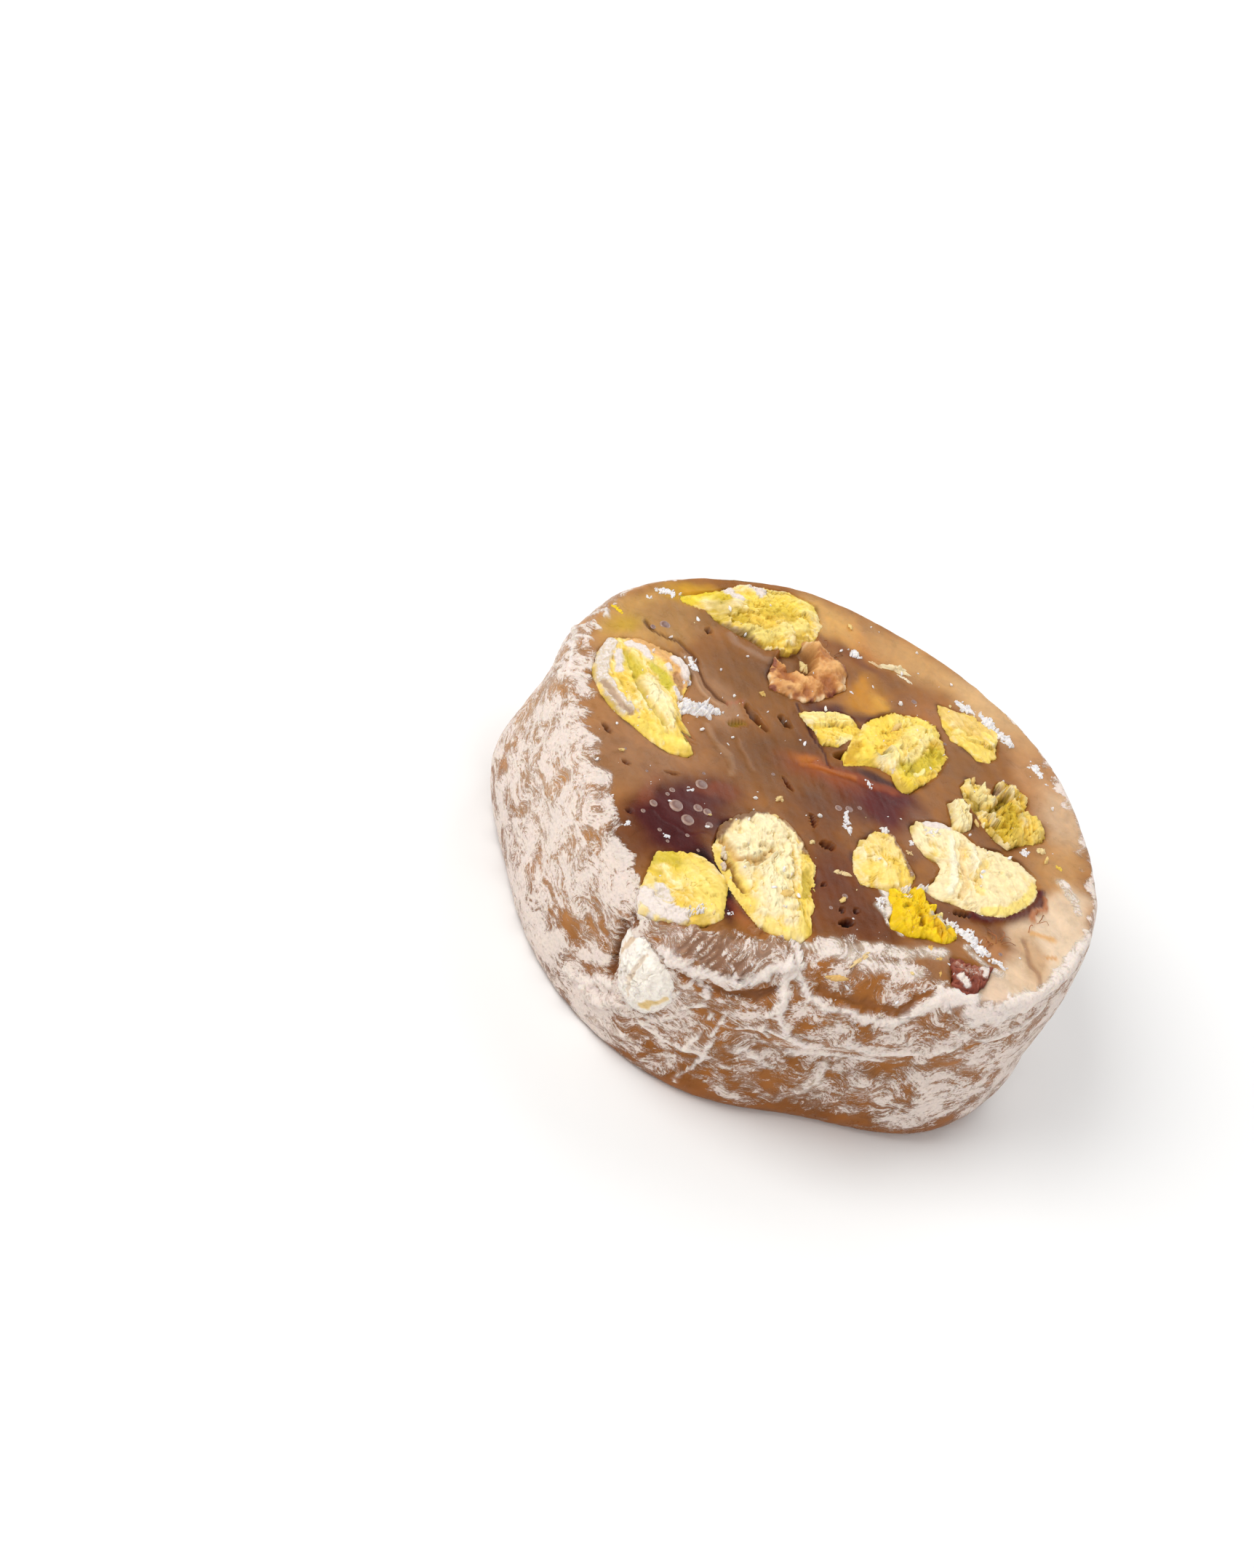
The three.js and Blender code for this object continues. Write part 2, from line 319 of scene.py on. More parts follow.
def stitch(outer, inner):
    """Triangles between two closed rows of vertices, the inner with one, as many or half as many."""
    count = len(outer)
    if len(inner) == 1:
        return [(outer[i], outer[(i + 1) % count], inner[0]) for i in range(count)]
    faces = []
    if len(inner) == count:
        for i in range(count):
            j = (i + 1) % count
            faces.append((outer[i], outer[j], inner[j]))
            faces.append((outer[i], inner[j], inner[i]))
        return faces
    for i in range(len(inner)):
        j = (i + 1) % len(inner)
        first, second, third = outer[2 * i], outer[2 * i + 1], outer[(2 * i + 2) % count]
        faces.append((first, second, inner[i]))
        faces.append((second, inner[j], inner[i]))
        faces.append((second, third, inner[j]))
    return faces


def closed_mesh(counts):
    """Vertex counts, turns and triangles of closed rows between two single vertices."""
    counts = [1, *counts, 1]
    turns = np.concatenate([np.arange(count) / count * math.tau for count in counts])
    rows = np.split(np.arange(sum(counts)), np.cumsum(counts)[:-1])
    faces = []
    for upper, lower in zip(rows[:-1], rows[1:]):
        if len(lower) >= len(upper):
            faces += stitch(lower, upper)
        else:
            faces += [face[::-1] for face in stitch(upper, lower)]
    return counts, turns, np.array(faces)


def new_object(name, data):
    """An object that is linked to the scene."""
    made = bpy.data.objects.new(name, data)
    bpy.context.scene.collection.objects.link(made)
    return made


def write_values(mesh, name, values):
    """Writes one number for each vertex of a mesh."""
    layer = mesh.attributes.new(name, "FLOAT", "POINT")
    layer.data.foreach_set("value", np.asarray(values, np.float32))


def make_piece(name, kind, points, faces, tone, dust, flow=None):
    """A mesh object in the frame from points in slice millimetres, with its finish and paint."""
    mesh = bpy.data.meshes.new(name)
    placed = (points + SHIFT) * MM
    mesh.from_pydata(placed.tolist(), [], faces.tolist())
    mesh.update()
    colour = np.ones((len(points), 4), np.float32)
    colour[:, :3] = np.clip(tone, 0, 1)
    layer = mesh.color_attributes.new("tone", "FLOAT_COLOR", "POINT")
    layer.data.foreach_set("color", colour.ravel())
    write_values(mesh, "dust", np.clip(dust, 0, 1))
    if flow is not None:
        layer = mesh.attributes.new("flow", "FLOAT_VECTOR", "POINT")
        layer.data.foreach_set("vector", flow.astype(np.float32).ravel())
    mesh.shade_smooth()
    mesh.materials.append(finish(kind))
    return new_object(name, mesh)


def settle(piece, slot, *nodes):
    """Declares a finished piece to the frame."""
    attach(piece, BODY)
    if nodes:
        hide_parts(*nodes)


# ---------------- kernels, shared by jelly and nuts

# Each kernel: place on the cut, how deep it reaches under the cut, how far it stands proud, and
# the corners of its broken outline.
KERNELS = {
    "kernel_far_left": (
        (-13.6, 18.2), 4.2, 0.9,
        ((-20.8, 15.8), (-19, 17.5), (-16, 20.6), (-12.3, 22.6), (-9.4, 22.8), (-7.9, 20.2), (-7.7, 18.2),
         (-9.2, 15.3), (-11.4, 13.8), (-14, 14), (-16, 14.2), (-18.2, 15.2), (-20.4, 15)),
    ),
    "kernel_skinned": (
        (-19, 1.2), 4, 0.9,
        ((-24.6, 5.2), (-22, 7), (-19.9, 7.1), (-17.7, 6.9), (-16.3, 5.3), (-16.1, 2.9), (-15.3, 0.6),
         (-15.2, -1.8), (-13.8, -1.8), (-12.5, -2.7), (-13, -4.7), (-14.7, -5.2), (-16.6, -5), (-18.4, -4.2),
         (-20.4, -3.6), (-22.4, -2.3), (-24.1, -0.4), (-24.8, 2.4)),
    ),
    "skin_curl": (
        (-6.8, 13.3), 2.4, 1.4,
        ((-7.5, 17.8), (-5.5, 16.8), (-3.6, 15.8), (-3.1, 13.8), (-4.7, 10.8), (-5.8, 9.8), (-7.5, 9.3),
         (-9.2, 9.3), (-10, 10.7), (-10.1, 12.9), (-10, 15.2), (-8.9, 16.7)),
    ),
    "kernel_chip": (
        (-2.4, 8.1), 2.4, 0.7,
        ((-5.8, 7.8), (-3.6, 9.5), (-2.6, 10.4), (-1.3, 10.5), (-0.2, 9.8), (0.1, 8.4), (-0.6, 7.7),
         (-1.3, 5.9), (-2.6, 5.2), (-3.8, 6.5)),
    ),
    "kernel_diamond": (
        (4.2, 9.8), 4, 1.2,
        ((1.9, 14), (3.9, 15.2), (6, 15.2), (7.3, 13.4), (8.3, 11.6), (8.1, 8.8), (7, 6), (6.4, 4.6),
         (5.5, 4.5), (4.3, 5.8), (2.9, 6), (1.7, 5.3), (0, 3.9), (-0.3, 5.4), (-0.3, 7.4), (0, 9.5),
         (0.2, 11.3), (1, 12.7)),
    ),
    "kernel_far_right": (
        (9.6, 16.7), 3, 0.5,
        ((5.5, 18.5), (7, 18.5), (9, 19.1), (10.4, 18.6), (11.7, 18.6), (11.9, 17.1), (12.4, 15.2),
         (12, 14), (11, 13.6), (9.7, 14.4), (8.1, 14.7), (6.8, 16)),
    ),
    "kernel_crumbled": (
        (15.2, 8.4), 3, 0.9,
        ((11, 10.6), (12.2, 10.4), (13.6, 9.9), (13.6, 11.9), (15, 12.6), (16.5, 12.2), (17.1, 10.4),
         (18.2, 9.7), (19.6, 9.2), (19.6, 7.6), (18.1, 6.1), (16.9, 4.4), (15.8, 4.6), (14.3, 5.6),
         (12.9, 6.8), (11.4, 7.9), (10.6, 9.1)),
    ),
    "kernel_crumb": (
        (11.8, 5.2), 1.2, 1.2,
        ((10.2, 6), (10.9, 6.9), (12.1, 6.9), (12.7, 5.7), (13, 4.6), (12.5, 3.5), (11.6, 3.4), (11.1, 4.6)),
    ),
    "kernel_boot": (
        (14.9, -0.9), 4, 1.2,
        ((8, 0.5), (8.3, 1.6), (9.8, 2.9), (11.5, 3.4), (13, 3.2), (14.4, 2.7), (16.4, 3.5), (18.2, 3.5),
         (20, 2.7), (20.9, 0.9), (21, -0.5), (20.2, -2.4), (19.1, -4.3), (17, -5.6), (14.9, -5.8),
         (12.6, -6.3), (11.5, -6.1), (12, -4.4), (12.2, -2.4), (11.7, -1.8), (10.5, -1.9), (8.9, -0.9)),
    ),
    "kernel_small": (
        (7.2, -5.4), 3, 0.8,
        ((4.4, -6.2), (5, -8), (6.1, -9.2), (7.4, -8.7), (8.4, -8.6), (9.4, -7.9), (10.2, -6), (10.1, -4.9),
         (9, -3.9), (8, -2.8), (6.8, -1.7), (5.2, -2.5), (4.4, -4.6)),
    ),
    "kernel_bright": (
        (12, -9.6), 2.4, 1.1,
        ((8.8, -8), (9.7, -8.6), (10.3, -6.8), (11.2, -5.9), (12, -7.4), (13, -7.6), (13.3, -8.8),
         (14.4, -8.9), (15.7, -9.4), (15.7, -10.3), (15, -11.3), (13.5, -11.7), (12, -12.4), (10.2, -12.5),
         (9.6, -11.6), (9.9, -10.4), (9, -9.4)),
    ),
    "kernel_red": (
        (18.2, -13.4), 2, 0.3,
        ((16.1, -12.4), (17.3, -12.1), (18.6, -12), (19.9, -11.3), (19.9, -12.8), (19.5, -14.9),
         (18.8, -15.5), (17.2, -15.2), (16.7, -13.7)),
    ),
    "kernel_near": (
        (-7.8, -19.6), 2.6, 0.8,
        ((-11.4, -17), (-10.1, -16.1), (-8.4, -15.6), (-6.5, -15.7), (-4.8, -16.7), (-4.2, -17.9),
         (-3.6, -20.6), (-4.6, -21.9), (-6.5, -22.9), (-8.7, -23.2), (-10.2, -22.6), (-10.9, -21.6),
         (-11.1, -19.4)),
    ),
    "kernel_large": (
        (-1.8, -12.9), 4.4, 1.3,
        ((-7.4, -10.6), (-6.1, -8.4), (-4.1, -7), (-2.6, -6.7), (-1.1, -7.4), (0.6, -9.2), (1.8, -10.1),
         (2.3, -12.7), (3.2, -14.5), (3.3, -15.9), (4.1, -17.3), (3.6, -19.1), (1.8, -19.7), (-0.2, -19.8),
         (-2, -18.7), (-4.4, -17), (-6.4, -15), (-7.3, -13.4)),
    ),
}
# The side kernel: bearing and turn in degrees, the rest in mm, radii every 30 degrees.
SIDE_BEARING = 254
SIDE_HEIGHT = 10.8
SIDE_SINK = 1.4
SIDE_TURN = 8
SIDE_RADII = (5.2, 4.7, 4.0, 3.5, 3.6, 4.4, 5.2, 4.6, 3.9, 3.5, 3.7, 4.5)
SIDE_DEPTH = 3
SIDE_PROUD = 2.6


def kernel_reach(name, angle):
    """Distance from a kernel's place to its straight-sided outline at angles in radians."""
    place, outline = KERNELS[name][0], KERNELS[name][3]
    corners = np.array(outline) - place
    steps = np.arange(24)[:, None, None] / 24
    line = (corners + steps * (np.roll(corners, -1, 0) - corners)).reshape(-1, 2)
    turns = np.arctan2(line[:, 1], line[:, 0])
    return np.interp(angle, turns, np.hypot(line[:, 0], line[:, 1]), period=math.tau)


def past_kernel(points, name):
    """How far each point lies outside a kernel's outline, in mm, less than 0 inside it."""
    gap = points[:, :2] - KERNELS[name][0]
    return np.hypot(gap[:, 0], gap[:, 1]) - kernel_reach(name, np.arctan2(gap[:, 1], gap[:, 0]))


# ---------------- settings


def colour_setting(name, description, colour):
    """A colour that the panel can change."""
    return bpy.props.FloatVectorProperty(
        name=name, description=description, subtype="COLOR", default=tuple(colour), min=0, max=1,
    )


def length_setting(name, description, value, least=0.0):
    """A length in metres that the panel can change."""
    return bpy.props.FloatProperty(
        name=name, description=description, default=value, min=least, unit="LENGTH",
    )


def count_setting(name, description, value):
    """A whole number that the panel can change."""
    return bpy.props.IntProperty(name=name, description=description, default=value, min=0)


def angle_setting(name, description, degrees):
    """An angle that the panel can change."""
    return bpy.props.FloatProperty(
        name=name, description=description, default=math.radians(degrees),
        subtype="ANGLE", unit="ROTATION",
    )


class DelightJellySettings(bpy.types.PropertyGroup):
    """Colours and coat of the jelly."""

    face: colour_setting("Cut Colour", "Colour of the moist cut", paint(156, 108, 70))
    rind: colour_setting("Side Colour", "Side under its powder", paint(160, 100, 43))
    powder: colour_setting("Powder Colour", "Rubbed starch powder", paint(240, 227, 218))
    cover: bpy.props.FloatProperty(
        name="Powder Cover", description="More or less powder than usual on the side",
        default=0, min=-0.5, max=0.5,
    )
    relief: length_setting("Powder Relief", "How far the rubbed powder stands proud", 0.00007)


class DelightKernelSettings(bpy.types.PropertyGroup):
    """Colours and relief of the pistachio kernels."""

    cream: colour_setting("Cream", "Palest broken flesh", paint(253, 232, 184))
    yellow: colour_setting("Yellow", "Flesh near the skin", paint(246, 208, 84))
    green: colour_setting("Green", "Greenest flesh", paint(196, 160, 40))
    craggy: length_setting("Break Relief", "Depth of the broken flesh", 0.0005)


class DelightCoatSettings(bpy.types.PropertyGroup):
    """Loose powder and crumbs strewn over the cut."""

    specks: count_setting("Powder Specks", "Tries at placing a powder speck", 330)
    speck_size: length_setting("Speck Size", "Radius of a middling speck", 0.00011, 0.00001)
    crumbs: count_setting("Nut Crumbs", "Tries at placing a nut crumb", 70)
    crumb_size: length_setting("Crumb Size", "Radius of a middling crumb", 0.00018, 0.00001)
    seed: count_setting("Seed", "Picks where loose bits lie", 4)


class DelightStageSettings(bpy.types.PropertyGroup):
    """Camera and floor."""

    elevation: angle_setting("Camera Elevation", "Height of the view over the floor", 42)
    roll: angle_setting("Camera Roll", "Turn of the picture about the line of sight", 29)
    distance: length_setting("Camera Distance", "From the lens to the slice", 0.404, 0.1)
    lens: bpy.props.FloatProperty(
        name="Lens", description="Focal length in millimetres",
        default=100, min=20, subtype="DISTANCE_CAMERA", unit="CAMERA",
    )
    floor_colour: colour_setting("Floor Colour", "Plain pale floor", (0.96, 0.96, 0.96))


# ---------------- nodes


def feed(tree, socket, value):
    """Puts a link, a colour or a number on a socket."""
    if isinstance(value, bpy.types.NodeSocket):
        tree.links.new(value, socket)
    elif socket.type == "RGBA" and len(value) == 3:
        socket.default_value = (*value, 1)
    else:
        socket.default_value = value


def node(tree, kind, settings=None, **values):
    """A node with its settings, and what its inputs take by name, or by number after a _."""
    made = tree.nodes.new(kind)
    for key, value in (settings or {}).items():
        setattr(made, key, value)
    for key, value in values.items():
        label = int(key[1:]) if key[0] == "_" else key.replace("_", " ")
        feed(tree, made.inputs[label], value)
    return made


def maths(tree, operation, *values):
    """The result of a maths node with numbers or links on its inputs."""
    made = node(tree, "ShaderNodeMath", {"operation": operation})
    for socket, value in zip(made.inputs, values):
        feed(tree, socket, value)
    return made.outputs[0]


def spread(tree, value, low, high, to_low=0, to_high=1, soft=True):
    """Brings a value from one range to another."""
    kind = {"interpolation_type": "SMOOTHSTEP" if soft else "LINEAR"}
    made = node(
        tree, "ShaderNodeMapRange", kind,
        Value=value, From_Min=low, From_Max=high, To_Min=to_low, To_Max=to_high,
    )
    return made.outputs["Result"]


def blend(tree, share, first, second, kind="MIX"):
    """A colour mix with links or fixed colours on either side."""
    settings = {"data_type": "RGBA", "blend_type": kind}
    return node(tree, "ShaderNodeMix", settings, _0=share, _6=first, _7=second).outputs[2]


# ---------------- finishes

# Hairs of powder on the side: fineness, twist, width and strength.
HAIRS = ((0.42, 1.2, 0.02, 0.3), (0.9, 1.6, 0.022, 0.34), (1.7, 1.2, 0.03, 0.3))
# Painted finishes: roughness bare and powdered, strength and reach in metres of the light that
# passes under the surface, grains to the metre and height of the relief in metres.
FINISHES = {
    "pistachio_flesh": (0.5, 0.85, 0.15, 0.0004, 3600, 0.00008),
    "pistachio_skin": (0.45, 0.85, 0.1, 0.0004, 3600, 0.00008),
    "loose_powder": (0.9, 0.95, 0.25, 0.0005, 5200, 0.00006),
    "bubble_film": (0.18, 0.8, 0.3, 0.0008, 2600, 0.00001),
}


def fresh_material(name):
    """A material with its emptied tree and its shader."""
    material = bpy.data.materials.new(name)
    material.use_nodes = True
    tree = material.node_tree
    tree.nodes.clear()
    shader = node(tree, "ShaderNodeBsdfPrincipled")
    node(tree, "ShaderNodeOutputMaterial", None, Surface=shader.outputs["BSDF"])
    return material, tree, shader


def noise_on(tree, vector, scale, detail, roughness, distortion=0.0):
    """Noise over a linked vector."""
    made = node(
        tree, "ShaderNodeTexNoise", None,
        Vector=vector, Scale=scale, Detail=detail, Roughness=roughness, Distortion=distortion,
    )
    return made.outputs["Fac"]


def grain(tree, scale, detail, roughness, distortion=0.0):
    """Noise on the piece's own place, with its scale in lumps to the metre."""
    where = node(tree, "ShaderNodeTexCoord").outputs["Object"]
    return noise_on(tree, where, scale, detail, roughness, distortion)


def swing(tree, noise, size):
    """A noise of 0 to 1 made to swing evenly about 0."""
    return maths(tree, "MULTIPLY_ADD", noise, size, -size / 2)


def painted(tree, name, output):
    """What is painted on the piece under a name."""
    return node(tree, "ShaderNodeAttribute", {"attribute_name": name}).outputs[output]


def dress_shader(tree, shader, colour, cover, roughs, height, bump):
    """Links colour, roughness and relief to a shader."""
    bare_rough, powder_rough = roughs
    roughness = node(tree, "ShaderNodeMix", None, _0=cover, _2=bare_rough, _3=powder_rough)
    normal = node(tree, "ShaderNodeBump", None, Strength=0.7, Distance=bump, Height=height)
    feed(tree, shader.inputs["Base Color"], colour)
    feed(tree, shader.inputs["Roughness"], roughness.outputs[0])
    feed(tree, shader.inputs["Normal"], normal.outputs["Normal"])


def soften(shader, gloss, depth, reds, glow):
    """Sets a shader's gloss and the light that passes under its surface."""
    shader.inputs["Specular IOR Level"].default_value = gloss
    shader.inputs["Subsurface Weight"].default_value = depth
    shader.inputs["Subsurface Radius"].default_value = reds
    shader.inputs["Subsurface Scale"].default_value = glow


def hairs(tree, value, width):
    """1 on the thin lines where a noise passes its middle value, 0 away from them."""
    off = maths(tree, "ABSOLUTE", maths(tree, "SUBTRACT", value, 0.5))
    return spread(tree, off, 0.0, width, 1, 0)


def mealy(tree, fine, powder, dimmed):
    """The colour of powder, duller in its hollows as painted shade."""
    return blend(tree, spread(tree, fine, 0.3, 0.65), tuple(c * dimmed for c in powder), powder)


def jelly_powder_cover(tree, dust, flow, thread, cloud, fine):
    """How thickly powder lies on the jelly: strokes and hairs along the side, under a web."""
    total = swing(tree, noise_on(tree, flow, 1.0, 6, 0.62, 0.5), 1.5)
    total = maths(tree, "ADD", total, swing(tree, cloud, 1.2))
    total = maths(tree, "ADD", total, swing(tree, fine, 0.9))
    for scale, twist, width, strength in HAIRS:
        lines = hairs(tree, noise_on(tree, flow, scale, 3, 0.6, twist), width)
        total = maths(tree, "MULTIPLY_ADD", lines, strength, total)
    total = maths(tree, "ADD", total, swing(tree, thread, 1.0))
    web = hairs(tree, grain(tree, 420, 3, 0.6, 0.8), 0.02)
    total = maths(tree, "MULTIPLY_ADD", web, 0.24, total)
    total = maths(tree, "ADD", total, maths(tree, "SUBTRACT", dust, 0.06))
    held = maths(tree, "MULTIPLY", total, spread(tree, dust, 0.02, 0.25))
    return spread(tree, held, 0.36, 0.8)


def jelly_finish(name, powder):
    """Moist jelly under rubbed powder that lies in fine strokes and hairs along the side."""
    material, tree, shader = fresh_material(name)
    dust = painted(tree, "dust", "Fac")
    flow = painted(tree, "flow", "Vector")
    thread = noise_on(tree, flow, 3.2, 4, 0.6, 0.8)
    cloud = grain(tree, 620, 5, 0.62, 0.4)
    fine = grain(tree, 3400, 4, 0.7)
    thick = jelly_powder_cover(tree, dust, flow, thread, cloud, fine)
    film = spread(tree, dust, 0.1, 0.95, 0, 0.2)
    cover = maths(tree, "MAXIMUM", maths(tree, "MULTIPLY", thick, 0.86), film)
    shade = spread(tree, cloud, 0.25, 0.75, 0.8, 1.16, False)
    bare = blend(tree, 1.0, painted(tree, "tone", "Color"), shade, "MULTIPLY")
    dark = spread(tree, thread, 0.35, 0.6, 0.72, 1.06)
    streaked = blend(tree, 1.0, bare, dark, "MULTIPLY")
    bare = blend(tree, spread(tree, dust, 0.1, 0.3), bare, streaked)
    colour = blend(tree, cover, bare, mealy(tree, fine, powder, 0.84))
    bare_rough = spread(tree, cloud, 0.3, 0.7, 0.24, 0.42)
    height = maths(tree, "MULTIPLY_ADD", thick, 0.8, maths(tree, "MULTIPLY", fine, 0.5))
    dress_shader(tree, shader, colour, cover, (bare_rough, 0.9), height, 0.00007)
    soften(shader, 0.14, 0.3, (1.0, 0.5, 0.22), 0.0012)
    return material


def painted_finish(name, powder):
    """A finish that takes its colour and its powder from what is painted on the piece."""
    wet, rough, depth, glow, fleck, bump = FINISHES[name]
    material, tree, shader = fresh_material(name)
    dust = painted(tree, "dust", "Fac")
    fine = grain(tree, fleck, 5, 0.7)
    coarse = grain(tree, fleck * 0.32, 4, 0.65)
    lifted = maths(tree, "ADD", dust, swing(tree, fine, 1.4))
    held = maths(tree, "MULTIPLY", lifted, spread(tree, dust, 0.0, 0.12))
    cover = spread(tree, held, 0.3, 0.62)
    shade = spread(tree, coarse, 0.25, 0.75, 0.86, 1.12, False)
    bare = blend(tree, 1.0, painted(tree, "tone", "Color"), shade, "MULTIPLY")
    colour = blend(tree, cover, bare, mealy(tree, fine, powder, 0.86))
    bare_rough = spread(tree, coarse, 0.3, 0.7, wet * 0.75, wet * 1.3)
    height = maths(tree, "MULTIPLY_ADD", cover, 0.5, fine)
    dress_shader(tree, shader, colour, cover, (bare_rough, rough), height, bump)
    soften(shader, 0.35, depth, (1.0, 0.7, 0.35), glow)
    return material


def finish(kind):
    """Finds or makes one of the slice's finishes."""
    ready = bpy.data.materials.get(kind)
    if ready:
        return ready
    powder = tuple(bpy.context.scene.delight_jelly.powder)
    make = jelly_finish if kind == "moist_jelly" else painted_finish
    return make(kind, powder)


# ---------------- jelly

# Vertices round the jelly, and the distance in mm between the rows of its side.
SEGMENTS = 600
SPACING = 0.27
# Rows of the lower cut: side position and how many times fewer vertices.
UNDER_ROWS = ((3.0, 1), (3.02, 2), (3.06, 4), (3.2, 8), (3.5, 8))
# Radius of the side that its powder strokes are measured on.
MIDDLE_GIRTH = 27
# Depth in mm of the wells that the kernels sit in.
WELL_DEPTH = 1.7
# Bearing and height of the middle of the barest patch of the side.
BARE_PATCH = (233, 9.5)
# Colours of the side near the floor, darker there as painted shade, and on its left.
SHADED_LOW_WALL = paint(142, 84, 30)
LEFT_WALL = paint(192, 142, 92)
# Light that the wet gloss adds to the colour of the cut.
SHEEN = 0.022
# Warmth of the jelly under its gloss.
WARMTH = np.array([0.97, 0.93, 0.8])
# Share of the side that is powdered, every 15 degrees from +X.
COVER = (
    0.75, 0.75, 0.7, 0.6, 0.5, 0.42, 0.42, 0.48, 0.5, 0.5, 0.5, 0.52,
    0.62, 0.68, 0.7, 0.72, 0.72, 0.64, 0.48, 0.43, 0.46, 0.54, 0.6, 0.68,
)
# How far the powder creeps in over the edge of the cut, every 15 degrees, in mm.
CREEP = (
    -0.2, 0.2, 0.5, 0.4, -0.6, -1.2, -1.4, -1.0, -0.8, -0.8, -1.2, -1.0,
    0.4, 0.4, 0.9, 1.1, 0.6, -0.6, 0.2, 0.4, 1.5, 1.6, -0.4, -0.8,
)
